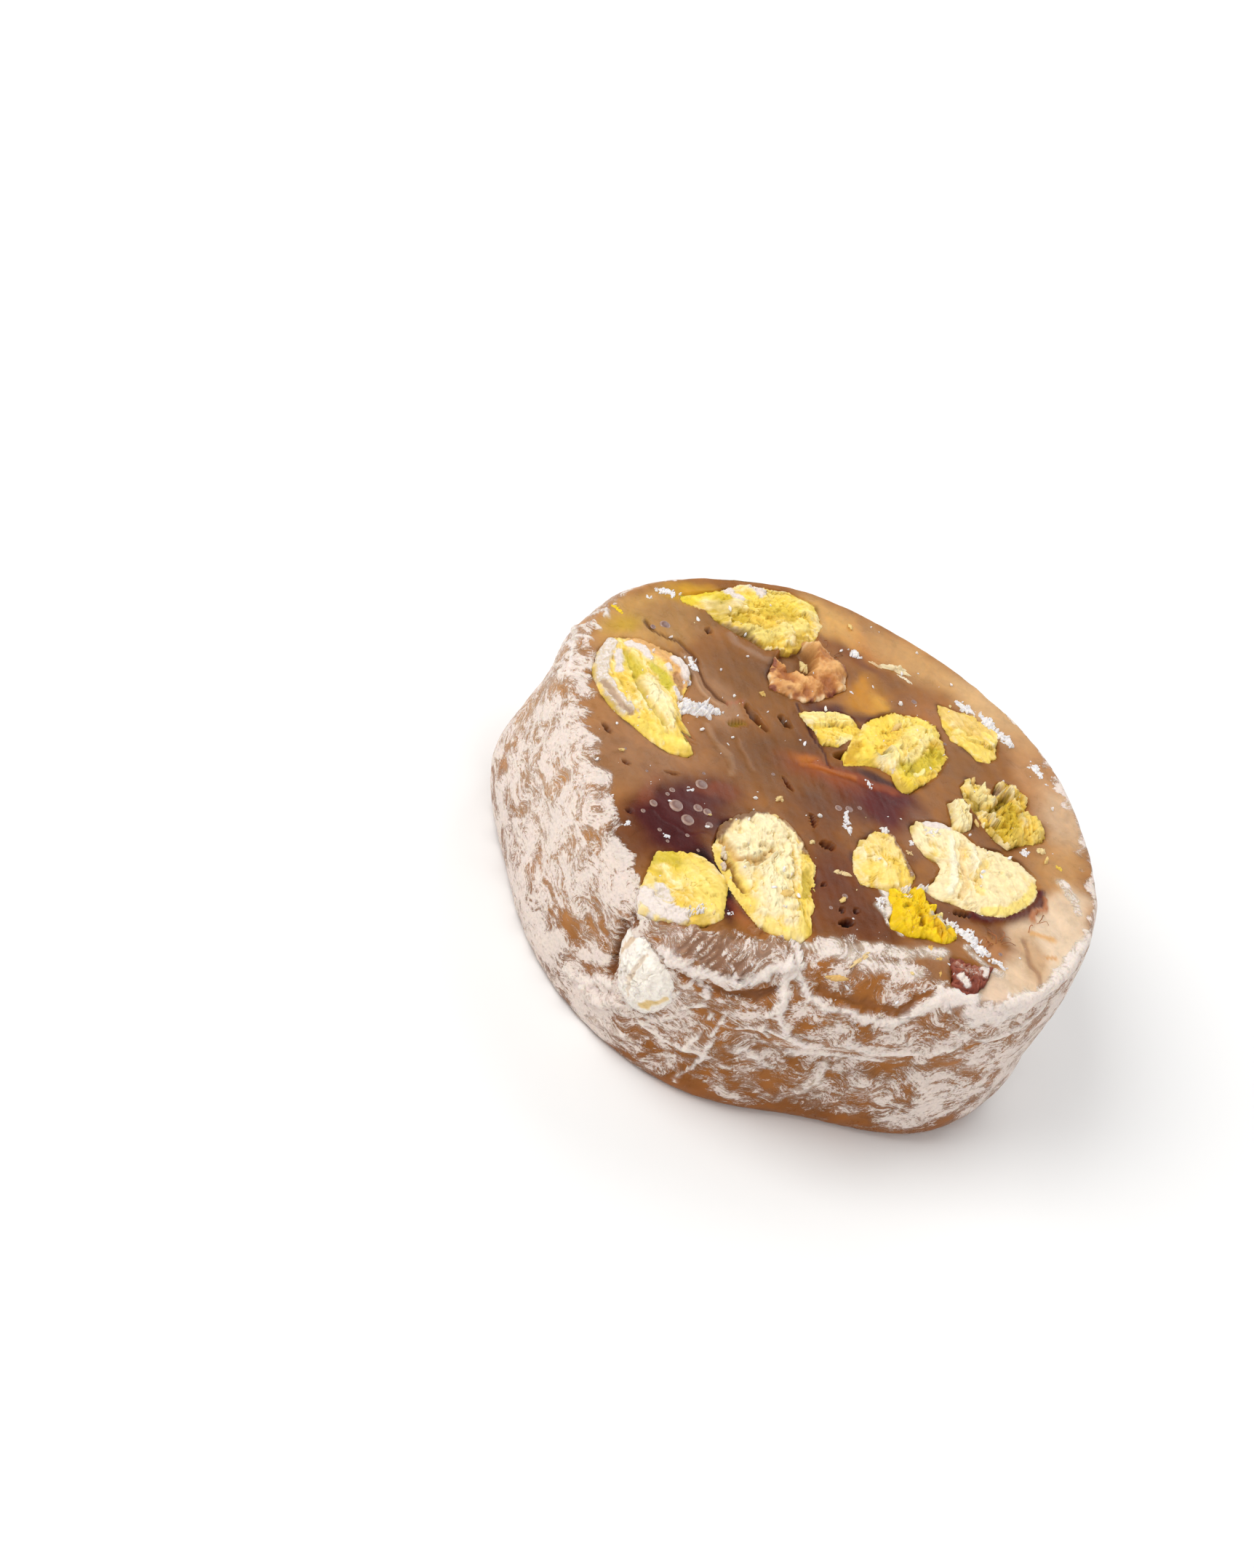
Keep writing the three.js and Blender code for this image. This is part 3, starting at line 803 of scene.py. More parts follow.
# Soft colours under the cut, and painted shadow in one gap between kernels: place, half length, half width,
# turn, softness, strength, colour.
DEPTHS = (
    (-22, -1, 9, 12, 20, 0.8, 0.75, (184, 137, 100)),
    (-15, -6, 7, 5, 30, 0.8, 0.6, (176, 128, 94)),
    (-22.5, 10.5, 6.5, 3.6, 60, 0.5, 0.8, (206, 164, 108)),
    (-24.2, 8.4, 2.0, 1.2, 60, 0.7, 0.8, (206, 170, 72)),
    (-19.6, 12.6, 4.4, 2.2, 40, 0.6, 0.5, (150, 112, 88)),
    (-19.2, 16.6, 3.0, 1.6, 30, 0.5, 0.85, (208, 160, 62)),
    (-16.2, 14.8, 3.4, 1.0, 35, 0.6, 0.5, (128, 92, 62)),
    (-13.4, 9.6, 5.5, 3.4, 20, 0.6, 0.5, (142, 98, 66)),
    (-9.5, 12, 2.4, 1.2, 20, 0.6, 0.5, (104, 72, 66)),
    (-14, 5.2, 3.6, 1.6, 150, 0.6, 0.5, (186, 150, 128)),
    (-12, 2.6, 2.2, 1.4, 100, 0.6, 0.4, (186, 150, 128)),
    (-8, -1, 5, 3, 10, 0.8, 0.5, (134, 94, 66)),
    (-5, 2, 6, 4, 40, 0.8, 0.7, (112, 80, 62)),
    (-11.5, 9.5, 5, 3.6, 30, 0.8, 0.65, (126, 92, 68)),
    (0, -4, 3.4, 2.4, 80, 0.7, 0.6, (112, 72, 56)),
    (-4.2, 5.4, 3.2, 1.5, 125, 0.5, 0.5, (116, 76, 58)),
    (-11.2, -11.6, 6.6, 4.3, 62, 0.45, 0.9, (94, 56, 52)),
    (-11.6, -11.2, 3.6, 2.6, 62, 0.6, 0.7, (88, 50, 52)),
    (-9.0, -7.4, 1.7, 0.9, 20, 0.6, 0.5, (150, 88, 72)),
    (-14.6, -10.6, 2.6, 0.9, 95, 0.6, 0.6, (152, 92, 78)),
    (-10.4, -14.6, 4.2, 1.8, 160, 0.5, 0.85, (82, 46, 48)),
    # These two: painted shadow in the dark gap between the near and the large kernel.
    (-5.9, -16.4, 3.2, 1.5, 130, 0.4, 0.95, (58, 28, 30)),
    (-4.0, -18.6, 2.6, 1.1, 130, 0.4, 0.95, (66, 34, 34)),
    (-1.8, -19.4, 2.2, 0.8, 150, 0.5, 0.6, (150, 84, 66)),
    (3.9, 1.4, 4.4, 3.4, 20, 0.4, 0.9, (108, 58, 50)),
    (5.2, 1.4, 3.0, 2.2, 25, 0.5, 0.8, (92, 40, 40)),
    (3.2, 4.3, 3.4, 0.9, 10, 0.5, 0.85, (74, 52, 52)),
    (-1.8, 1.6, 3.4, 1.8, 20, 0.6, 0.8, (150, 84, 52)),
    (-2.8, 2.2, 1.6, 0.8, 20, 0.7, 0.9, (190, 118, 62)),
    (0.6, -2.0, 4.2, 2.6, 10, 0.6, 0.7, (118, 82, 66)),
    (-2.4, 10.8, 3.4, 1.0, 20, 0.5, 0.85, (84, 52, 56)),
    (0.2, 12.2, 2.2, 1.6, 60, 0.6, 0.7, (92, 60, 52)),
    (-0.9, 14.6, 3.3, 2.1, 77, 0.35, 0.95, (198, 140, 66)),
    (0.1, 14.0, 1.2, 0.9, 77, 0.6, 0.6, (222, 170, 84)),
    (2.2, 16.4, 4.0, 1.4, 165, 0.6, 0.6, (140, 96, 66)),
    (5.4, 15.2, 3.4, 2.4, 150, 0.7, 0.6, (184, 128, 88)),
    (-3.4, 18.9, 3.4, 1.0, 0, 0.5, 0.7, (126, 78, 54)),
    (-4.8, 21.4, 4.4, 1.6, 170, 0.6, 0.8, (206, 140, 78)),
    (-7.6, 21.8, 3.4, 2.0, 160, 0.6, 0.7, (222, 180, 118)),
    (3.5, 22.2, 8.0, 2.2, 172, 0.6, 0.75, (216, 172, 122)),
    (10.4, 21.2, 6.0, 2.6, 150, 0.6, 0.7, (222, 186, 146)),
    (11.6, 11.6, 4.4, 3.2, 120, 0.7, 0.7, (148, 102, 64)),
    (16.4, 15.6, 4.0, 2.4, 130, 0.6, 0.7, (204, 156, 116)),
    (20.4, 11.6, 4.0, 2.4, 110, 0.6, 0.7, (226, 196, 170)),
    (22.4, 5.6, 4.0, 2.6, 95, 0.6, 0.7, (206, 160, 112)),
    (14.4, 4.0, 3.0, 1.2, 160, 0.5, 0.5, (130, 92, 70)),
    (8.4, 1.4, 2.4, 1.6, 100, 0.6, 0.5, (150, 112, 92)),
    (8.6, -3.0, 2.2, 1.2, 60, 0.6, 0.6, (118, 80, 66)),
    (5.2, -12.6, 5.6, 4.6, 60, 0.6, 0.85, (118, 74, 50)),
    (3.6, -8.6, 2.6, 3.6, 10, 0.7, 0.75, (108, 66, 48)),
    (8.0, -13.0, 3.4, 2.4, 150, 0.7, 0.8, (112, 72, 52)),
    (1.8, -19.4, 3.4, 1.4, 20, 0.6, 0.8, (180, 122, 74)),
    (17.6, -6.4, 4.2, 1.3, 12, 0.5, 0.7, (124, 82, 60)),
    (20.2, -4.6, 1.6, 1.2, 20, 0.5, 0.6, (146, 98, 62)),
    (23.6, -3.8, 3.4, 4.6, 10, 0.3, 0.92, (236, 214, 196)),
    (24.8, 0.6, 2.0, 3.2, 20, 0.5, 0.8, (234, 210, 190)),
    (22.9, -10.2, 3.0, 2.6, 60, 0.3, 0.92, (232, 206, 184)),
    (20.6, -13.6, 2.0, 2.2, 60, 0.35, 0.9, (232, 208, 192)),
    (22.6, -6.9, 1.0, 3.0, 30, 0.5, 0.7, (196, 156, 120)),
    (19.2, -9.4, 1.8, 1.0, 20, 0.5, 0.6, (196, 140, 100)),
    (14.6, -13.6, 2.0, 2.6, 80, 0.6, 0.5, (158, 116, 90)),
    (13.8, -7.6, 2.6, 1.2, 10, 0.6, 0.7, (124, 84, 64)),
    (9.4, 12.4, 2.6, 3.4, 20, 0.7, 0.6, (140, 102, 74)),
    (-17.6, -7.6, 4.4, 3.4, 20, 0.7, 0.8, (158, 120, 96)),
)
# Lines on or under the cut: width, lift, powder, strength, colour and the places they run through.
CUT_LINES = (
    (
        0.16, -0.16, 0, 0.75, (92, 56, 40),
        ((-22.8, 9.7), (-21.1, 9.2), (-19.1, 9.3), (-17.4, 8.5), (-15.5, 6.3), (-13.8, 5), (-12.4, 4.5)),
    ),
    (0.22, 0.1, 0.1, 0.35, (212, 176, 150), ((-17.9, 7.6), (-16.1, 5.7), (-14.4, 4.4), (-12.6, 3.8))),
    (0.16, 0.06, 0.1, 0.5, (176, 110, 96), ((-12.4, 4.5), (-11.6, 5.2), (-10.9, 5.9), (-10.6, 5.2))),
    (0.14, -0.1, 0, 0.8, (70, 42, 34), ((-6.5, 9.0), (-3.2, 5.1), (-0.9, 3.0))),
    (0.5, 0.05, 0, 0.7, (156, 84, 54), ((-2.4, 2.4), (-0.8, 2.7), (1.2, 2.9), (3.2, 3.2), (5.2, 3.6))),
    (0.3, 0.05, 0, 0.6, (186, 116, 74), ((-3.6, 1.4), (-2.2, 2.3), (-0.6, 2.6), (1.4, 2.8))),
    (0.35, 0.06, 0.12, 0.35, (190, 156, 132), ((-12.8, 0.4), (-11.4, -0.9), (-9.9, -2.0), (-8.8, -3.8))),
    (0.2, 0.05, 0.05, 0.3, (176, 138, 114), ((-9.8, 0.6), (-8.6, -0.6), (-7.2, -2.0))),
    (
        0.12, -0.06, 0, 0.5, (96, 52, 52),
        ((-14.8, -13.6), (-13.4, -12.9), (-11.2, -13.6), (-9.6, -13.9), (-8.2, -12.7)),
    ),
    (0.35, 0.06, 0, 0.4, (176, 150, 140), ((-15.1, 13.4), (-13.2, 12.6), (-11.4, 12.4), (-9.9, 12.9))),
    (0.4, 0.08, 0.9, 0.9, (238, 232, 230), ((7.6, -8.2), (9.1, -9.6), (9.7, -11.2))),
    (0.3, 0.08, 0.8, 0.8, (238, 232, 230), ((8.2, -10.6), (9.9, -12.0), (11.2, -12.4))),
    (0.25, -0.1, 0, 0.6, (150, 108, 84), ((21.4, -5.6), (22.2, -7.4), (23.9, -8.9), (24.4, -10.4))),
    (0.5, 0.1, 0.55, 0.6, (236, 224, 214), ((22.6, 3.7), (24.0, 2.6), (25.2, 0.8))),
    (0.35, 0.05, 0, 0.7, (226, 168, 92), ((21.9, -4.6), (23.0, -4.2), (23.9, -3.9))),
    (0.2, 0.0, 0, 0.7, (206, 142, 62), ((24.2, -6.6), (24.9, -6.0))),
    (0.6, 0.25, 0, 0.95, (92, 46, 44), ((21.2, 1), (21.4, -0.8), (20.5, -2.9), (19, -4.7), (16.6, -6.1))),
    (0.3, 0.3, 0, 0.8, (178, 104, 58), ((22, 0.4), (22.2, -1), (21.4, -2.8))),
    (0.7, 0.05, 0.6, 0.5, (232, 220, 210), ((6.4, -17.6), (9.4, -15.8), (12.4, -14.6), (15.4, -12.4))),
    (0.5, 0.05, 0.7, 0.6, (236, 226, 218), ((3.6, -19.4), (7.2, -17.9), (10.6, -17.2), (14, -16))),
    (0.4, 0.05, 0.6, 0.5, (232, 220, 210), ((17, -10.4), (19.4, -11.4), (21, -11.2))),
    (
        0.45, 0.1, 0.95, 0.95, (240, 234, 230),
        ((19.2, -15.2), (19.6, -16.2), (21, -16.4), (23, -13.9), (25.1, -10.8)),
    ),
    (0.6, 0.12, 0.9, 0.9, (240, 234, 230), ((25.3, -10.2), (26.0, -7.4), (26.6, -4.6), (27.0, -1.6))),
)
# Holes in the cut: place, half length, half width, turn, depth, colour, mostly dark as painted shade inside
# the hole.
PITS = (
    (-20.6, -5.9, 0.6, 0.28, 120, 0.9, (84, 34, 16)),
    (-10.5, 2.7, 0.95, 0.42, 35, 0.4, (150, 118, 48)),
    (-9.2, 4.6, 1.35, 0.5, 145, 1.1, (74, 26, 12)),
    (-6.8, 5.9, 0.9, 0.36, 150, 0.9, (64, 28, 22)),
    (-3.9, -1.7, 0.6, 0.22, 140, 0.7, (96, 42, 24)),
    (1.9, -6.9, 0.48, 0.42, 0, 1.0, (76, 30, 16)),
    (6.4, -14.4, 0.6, 0.36, 60, 0.8, (58, 26, 18)),
    (5.6, -13.2, 0.3, 0.2, 0, 0.5, (70, 32, 20)),
    (6.9, -12.4, 0.26, 0.2, 0, 0.6, (78, 34, 20)),
    (3.0, -11.4, 0.26, 0.2, 0, 0.5, (84, 40, 26)),
    (-17.0, 12.6, 0.4, 0.3, 0, 0.8, (92, 50, 26)),
    (-15.4, -14.0, 0.3, 0.26, 0, 0.7, (70, 28, 24)),
    (-0.2, -4.9, 0.7, 0.26, 120, 0.8, (96, 40, 24)),
    (15.6, -6.6, 0.9, 0.3, 30, 0.8, (74, 38, 26)),
    (-17.6, -9.0, 0.3, 0.18, 0, 0.4, (120, 70, 40)),
    (-13.6, -7.6, 0.6, 0.14, 20, 0.3, (110, 66, 40)),
    (11.4, 2.2, 0.8, 0.5, 10, 0.9, (92, 44, 26)),
    (0.4, 5.4, 1.5, 0.7, 25, 1.0, (96, 48, 20)),
)
# Powder on the folds: powder, strength and colour.
MEAL = (0.9, 0.8, (236, 226, 220))
CHALK = (1.0, 0.9, (238, 228, 222))
SNOW = (0.9, 0.9, (240, 232, 226))
# Folds and creases in the side, like the lines of the cut. Their places are bearing and height, or
# x, y and None on the cut.
FOLDS = (
    (
        1.5, 0.7, 0.45, 0.6, (172, 138, 116),
        ((256, 16.4), (261, 16.9), (266, 17.2), (271, 17.6), (275, 18.1)),
    ),
    # A groove under the lip's white border, bare of powder and darkened as painted shadow.
    (0.4, -0.55, 0, 0.75, (128, 80, 50), ((258, 13.9), (264, 14.3), (270, 14.5), (275, 15.5), (279, 16.6))),
    (0.4, 0.28, *CHALK, ((256, 15.3), (260, 15.4), (265, 15.6), (271, 15.9), (275, 17.0), (279, 17.9))),
    (0.3, 0.3, *CHALK, ((279, 18.3), (282, 17.6), (286, 16.4), (290, 16.1), (297, 15.8), (304, 15.5))),
    (0.3, 0.35, *CHALK, ((280, 17.9), (280, 16.0), (282, 14.2), (286, 12.8), (292, 12.2))),
    (0.24, 0.25, *MEAL, ((281, 16.6), (279, 14.4), (280, 12.2), (284, 10.6))),
    (0.4, 0.3, *CHALK, ((304, 15.5), (309, 16.5), (313, 17.9), (315, 19.0))),
    (
        0.35, -0.35, 0, 0.75, (142, 88, 46),
        ((288, 17.0), (293, 16.7), (301, 16.6), (307, 16.6), (310, 17.9), (314, 19.0)),
    ),
    (
        0.7, 0.2, 1.0, 0.9, (238, 230, 226),
        ((316, 18.7), (319, 19.2), (321, 18.6), (323, 17.9), (327, 18.5), (334, 19.3)),
    ),
    (0.5, 0.2, 0.9, 0.8, (238, 230, 226), ((334, 19.3), (342, 19.6), (348, 19.6))),
    (0.3, 0.2, *MEAL, ((318, 16.4), (322, 15.2), (329, 15.4), (334, 16.4), (340, 17.4))),
    (0.35, 0.25, *MEAL, ((297, 13.5), (304, 12.4), (310, 12.3), (316, 13.2), (321, 14.3))),
    (0.3, 0.2, *MEAL, ((288, 9.3), (296, 9.8), (303, 10.0), (309, 10.6))),
    (0.26, 0.2, *MEAL, ((276, 11.0), (280, 12.7), (285, 12.5), (289, 11.9))),
    (0.26, 0.2, *MEAL, ((276, 7.0), (279, 8.5), (286, 7.5))),
    (0.4, 0.3, 0.7, 0.7, (226, 210, 196), ((298, 8.7), (297, 7.1), (297, 5.2), (295, 4.8))),
    (0.17, 0.22, *CHALK, ((269, 11.6), (269, 8.1), (268, 6.2))),
    (0.17, 0.22, *CHALK, ((272, 12.5), (272, 8.7), (272, 5.0), (270, 1.8))),
    (0.16, 0.2, *MEAL, ((259, 6.9), (261, 6.5), (262, 8.1), (264, 10.1), (267, 12.2), (266, 14.1))),
    (0.16, 0.2, *MEAL, ((266, 14.1), (263, 14.1), (261, 11.3), (260, 9.8))),
    (0.5, 0.1, 0.5, 0.5, (190, 164, 146), ((262, 12.6), (264, 12.9), (264, 11.6))),
    (0.2, 0.2, 0.9, 0.8, (234, 222, 214), ((258, 6.0), (264, 5.8), (270, 6.4), (278, 6.0))),
    (0.7, 0.5, 0.8, 0.6, (230, 214, 200), ((245, 3.9), (249, 4.7), (252, 6.0))),
    (0.4, 0.4, 0.9, 0.8, (236, 226, 218), ((238, 4.0), (241, 4.1), (245, 5.2), (249, 7.1))),
    (0.4, 0.25, 0.7, 0.6, (226, 206, 190), ((249, 2.1), (253, 2.9), (258, 3.6))),
    (0.5, -0.7, 0, 0.85, (118, 70, 40), ((246.2, 14.6), (245.2, 12.0), (245.4, 9.8), (247, 7.6))),
    (0.3, 0.25, 0.6, 0.8, (234, 220, 208), ((163, 14.2), (168, 15.8), (172, 16.4))),
    (0.16, 0.16, *SNOW, ((163, 16.6), (160, 17.2), (-25.9, 8.5, None))),
    (0.16, 0.16, *SNOW, ((167, 15.2), (166, 16.9), (-25.8, 6.2, None))),
    (0.16, 0.16, *SNOW, ((171, 15.4), (170, 16.9), (-25.9, 4.2, None))),
    (0.2, 0.16, *SNOW, ((176, 14.4), (181, 16.1), (182, 16.9), (-24.6, -0.6, None))),
    (0.16, 0.16, *SNOW, ((174, 13.6), (178, 15.6), (-25.4, 1.2, None))),
    (0.2, 0.16, *SNOW, ((168, 13.6), (170, 15.2), (174, 16.6), (178, 17.0), (182, 16.9))),
    *(
        (0.17, -0.22, 0.06, 0.7, (118, 84, 66), ((b, 16.1), (b + 0.8, 17), (b + 0.5, 18.2)))
        for b in (257.4, 259, 260.6, 262.4, 263.8, 265.2, 266.8, 268.4, 270.4)
    ),
)


def jelly_rows():
    """Side positions and vertex counts of the closed rows, from the middle of the upper cut to the
    middle of the lower."""
    face = [(share, SEGMENTS) for share in np.arange(0.5, 1.0, 0.0105)]
    inner = []
    share, count = 0.5, SEGMENTS // 2
    while count > 30:
        for step in range(24):
            inner.append((share - share / 2 * (step + 1) / 24, count))
        share /= 2
        count //= 2
    inner.sort()
    fine = np.linspace(1, 3, 401)
    girths = [skin_point(fine, np.full(401, angle)) for angle in np.linspace(0, math.tau, 13)[:-1]]
    runs = np.mean([np.linalg.norm(np.diff(g, axis=0), axis=1) for g in girths], axis=0)
    length = np.concatenate([[0], np.cumsum(runs)])
    wall = [(s, SEGMENTS) for s in np.interp(np.arange(0, length[-1], SPACING), length, fine)]
    under = [(side, SEGMENTS // part) for side, part in UNDER_ROWS]
    return inner + face + wall + under


def jelly_mesh():
    """Points, triangles, bearings in radians and side positions of the jelly before it is worked."""
    rows = jelly_rows()
    counts, angle, faces = closed_mesh([count for _, count in rows])
    side = np.repeat([0.0, *(place for place, _ in rows), 4.0], counts)
    return skin_point(side, angle), faces, angle, side


def stray(points, size, far, seed):
    """Sideways steps of up to about far, alike within lumps of a size."""
    sideways = [mottle(points / size, seed), mottle(points / size, seed + 1)]
    return far * np.stack([*sideways, np.zeros(len(points))], 1)


def draw_mark(row, share, tone, dust, rise, wiped=1):
    """Draws one line or mark where share is high: its colour, its powder and its rise. A row
    without powder wipes powder off by the share wiped."""
    lift, powder, strength, colour = row[1:5]
    tone = tint(tone, strength * share, paint(*colour))
    dust = dust + share * (powder - dust) * (1 if powder > 0 else wiped)
    return tone, dust, rise + share * lift


def jelly_colour(points, angle, past_edge, looser, settings):
    """Colour of the cut with its soft depths, and of the side, darker low down as painted shade."""
    height = points[:, 2]
    tone = np.tile(np.array(settings.face), (len(points), 1))
    tone *= (1 + 0.14 * layered(points / 5.0, 3, 11))[:, None]
    for x, y, long, wide, turn, soft, strength, colour in DEPTHS:
        share = 1 - smooth(1 - soft, 1 + soft, oval(looser, x, y, long, wide, turn))
        tone = tint(tone, strength * share * smooth(3.5, 0.5, past_edge), paint(*colour))
    rind = np.array(settings.rind)
    left = smooth(-0.2, -0.9, np.cos(angle)) * smooth(4, 10, height)
    # Painted shade: the side darkens towards the floor.
    wall = rind + smooth(9, 1.5, height)[:, None] * (SHADED_LOW_WALL - rind)
    wall = tint(wall, 0.7 * left, LEFT_WALL)
    wall = wall * (1 + 0.16 * layered(points / 3.2, 3, 21))[:, None]
    return tint(tone, smooth(-0.2, 2.2, past_edge + 0.8 * mottle(points / 2.2, 8)), wall)


def jelly_relief(points, past_edge, on_face):
    """Lumps of the side and fine drag marks of the knife on the cut."""
    height = points[:, 2]
    lift = 0.22 * layered(points / 5.5, 2, 31) * smooth(-1, 4, past_edge) * smooth(0.6, 3, height)
    lift += 0.05 * layered(points / 1.4, 3, 37)
    along = points[:, 0] * 0.8 + points[:, 1] * 0.6
    across = (points[:, 1] * 0.8 - points[:, 0] * 0.6) / 6
    drag = np.stack([along, across, height / 2], 1)
    return lift + on_face * 0.035 * layered(drag / 0.8, 2, 41)


def side_flow(points):
    """Places that wind about, and the same drawn out along the side for strokes of powder."""
    swirl = np.stack([mottle(points / 3.8, seed) for seed in (61, 62, 63)], 1)
    curls = np.stack([mottle(points / 1.6, seed) for seed in (64, 65, 66)], 1)
    bent = points + 1.1 * swirl + 0.5 * curls
    turn = np.arctan2(bent[:, 1], bent[:, 0])
    stroke = MIDDLE_GIRTH / 1.7
    return bent, np.stack([np.cos(turn) * stroke, np.sin(turn) * stroke, bent[:, 2] / 0.42], 1)


def jelly_powder(points, angle, past_edge, on_face, more):
    """Powder on the jelly, and the flow that its strokes follow."""
    height = points[:, 2]
    cover = around(COVER, angle) + more
    arc = (angle - math.radians(BARE_PATCH[0])) * MIDDLE_GIRTH
    bare = np.hypot(arc / 4.5, (height - BARE_PATCH[1]) / 4.2)
    cover = cover - 0.32 * (1 - smooth(0, 1, bare - 0.4))
    front = smooth(-0.1, -0.5, np.sin(angle)) * smooth(-0.4, -0.05, np.cos(angle))
    cover -= front * 0.5 * smooth(3.4, 0.8, height + 0.8 * mottle(points / 3.0, 51))
    bent, flow = side_flow(points)
    streak = layered(flow / 1.6, 3, 71, 0.6)
    cloud = layered(bent / 3.0, 3, 81, 0.55)
    coat = smooth(-0.9, 0.9, 0.4 * streak + 0.65 * cloud + (cover - 0.5) * 1.4)
    creep = past_edge + around(CREEP, angle)
    creep = creep + 0.9 * layered(points / 1.5, 3, 101) + 1.1 * mottle(points / 3.6, 103)
    dust = coat * smooth(-0.2, 0.7, creep) * smooth(0.05, 0.5, height)
    haze = smooth(0.15, 0.6, layered(points / 3.0, 3, 111)) * smooth(-5.0, 0.3, past_edge)
    return np.maximum(dust, 0.1 * haze * on_face), flow


def path_points(path):
    """Points in slice millimetres for a path of bearings and heights, or x, y and None."""
    return [on_cut(*place[:2]) if len(place) == 3 else on_side(*place) for place in path]


def draw_lines(points, loose, tone, dust, lift):
    """Draws the lines of the cut and the folds of the side, torn where they carry powder."""
    torn = 1.0 + 0.9 * layered(points / 0.9, 3, 151, 0.6)
    for row in CUT_LINES:
        width, powder = row[0], row[2]
        path = [on_cut(*place) for place in row[5]]
        share = smooth(1.6, 0.4, apart(loose, path) / width)
        share = share * np.clip(torn, 0, 1.2) if powder > 0.4 else share
        tone, dust, lift = draw_mark(row, share, tone, dust, lift, 0)
    for row in FOLDS:
        away = apart(loose, path_points(row[5])) / row[0]
        share = smooth(1.7, 0.4, away * np.clip(torn, 0.6, 2.5))
        tone, dust, lift = draw_mark(row, share, tone, dust, lift, 0.8)
    return tone, dust, lift


def sink_pits(loose, on_face, tone, dust, lift):
    """Sinks the holes of the cut, each with a low rim, and paints their insides dark as painted shade."""
    drop = np.zeros(len(loose))
    for x, y, long, wide, turn, depth, colour in PITS:
        away = oval(loose, x, y, long, wide, turn)
        inside = smooth(1.3, 0.75, away) * on_face
        # Painted shade inside the hole.
        tone = tint(tone, inside, paint(*colour))
        drop += depth * inside
        lift += 0.05 * np.exp(-(((away - 1.35) / 0.25) ** 2)) * on_face
        dust = dust * (1 - inside)
    return tone, dust, lift, drop


def sink_wells(points, tone, dust, lift, drop):
    """Sinks the wells that the kernels sit in, with wavy rims darkened by painted shade and the wet look
    there.
    """
    shade = smooth(-0.1, 0.6, mottle(points / 1.9, 121))
    wave = mottle(points / 2.0, 131)
    for name in KERNELS:
        away = np.where(points[:, 2] > 9, past_kernel(points, name), 9.0)
        sunk = smooth(0.15, -0.45, away)
        rim = np.exp(-(((away - 0.2) / 0.3) ** 2))
        # Painted shade, with the jelly's wet look, in the ring round each kernel.
        tone = tone * (1 - 0.5 * rim * shade)[:, None]
        lift += 0.12 * rim * wave
        dust = dust * (1 - sunk)
        drop += WELL_DEPTH * sunk
    return tone, dust, lift, drop


def work_jelly(points, angle, side, settings):
    """Paints the jelly and works its relief: colour, powder, lift along the normal, drop, flow."""
    reach = np.hypot(points[:, 0], points[:, 1])
    past_edge = np.where(side <= 1, reach - around(EDGE, angle), (side - 1) * 8.0)
    on_face = smooth(1.6, -0.4, past_edge)
    loose = points + stray(points, 1.7, 0.35, 3)
    looser = loose + stray(points, 4.1, 0.8, 5)
    tone = jelly_colour(points, angle, past_edge, looser, settings)
    lift = jelly_relief(points, past_edge, on_face)
    dust, flow = jelly_powder(points, angle, past_edge, on_face, settings.cover)
    lift += dust * settings.relief / MM
    tone, dust, lift = draw_lines(points, loose, tone, dust, lift)
    tone, dust, lift, drop = sink_pits(loose, on_face, tone, dust, lift)
    tone, dust, lift, drop = sink_wells(points, tone, dust, lift, drop)
    tone = tint(tone, on_face, np.maximum(tone * WARMTH - SHEEN, 0.35 * tone))
    return tone, dust, lift, drop, flow


def build_jelly(settings):
    """The jelly slice as one closed, painted mesh."""
    points, faces, angle, side = jelly_mesh()
    tone, dust, lift, drop, flow = work_jelly(points, angle, side, settings)
    normals = normals_of(points, faces)
    lift = lift * smooth(0.0, 0.25, points[:, 2])
    worked = points + normals * lift[:, None]
    worked[:, 2] -= drop
    worked[:, 2] = np.maximum(worked[:, 2], 0)
    return make_piece("jelly_slice", "moist_jelly", worked, faces, tone, dust, flow)


# ---------------- kernels

# How each kernel is finished: paler 0 to 1, greener 0 to 1, roughness of the break, length of the
# flakes in mm, way of the grain in degrees, and its slot.
LOOKS = {
    "kernel_far_left": (0.35, 0.45, 0.9, 3.2, 30, "nut_yellow"),
    "kernel_skinned": (0.38, 0.28, 0.5, 5.0, 130, "nut_cream"),
    "kernel_chip": (0.32, 0.15, 0.9, 3.0, 10, "nut_yellow"),
    "kernel_diamond": (0.28, 0.3, 0.9, 3.4, 130, "nut_yellow"),
    "kernel_far_right": (0.25, 0.4, 0.5, 3.6, 150, "nut_yellow"),
    "kernel_crumbled": (0.45, 0.3, 1.6, 1.5, 130, "nut_green"),
    "kernel_crumb": (0.8, 0.0, 1.0, 1.4, 130, "nut_cream"),
    "kernel_boot": (0.85, 0.0, 0.6, 4.5, 130, "nut_cream"),
    "kernel_small": (0.45, 0.2, 0.6, 3.0, 120, "nut_cream"),
    "kernel_bright": (0.0, 0.1, 1.1, 2.0, 130, "nut_bright"),
    "kernel_red": (0.3, 0.0, 0.9, 2.0, 20, "nut_red"),
    "kernel_near": (0.35, 0.35, 0.5, 3.4, 160, "nut_yellow"),
    "kernel_large": (0.75, 0.1, 0.9, 3.8, 120, "nut_cream"),
}
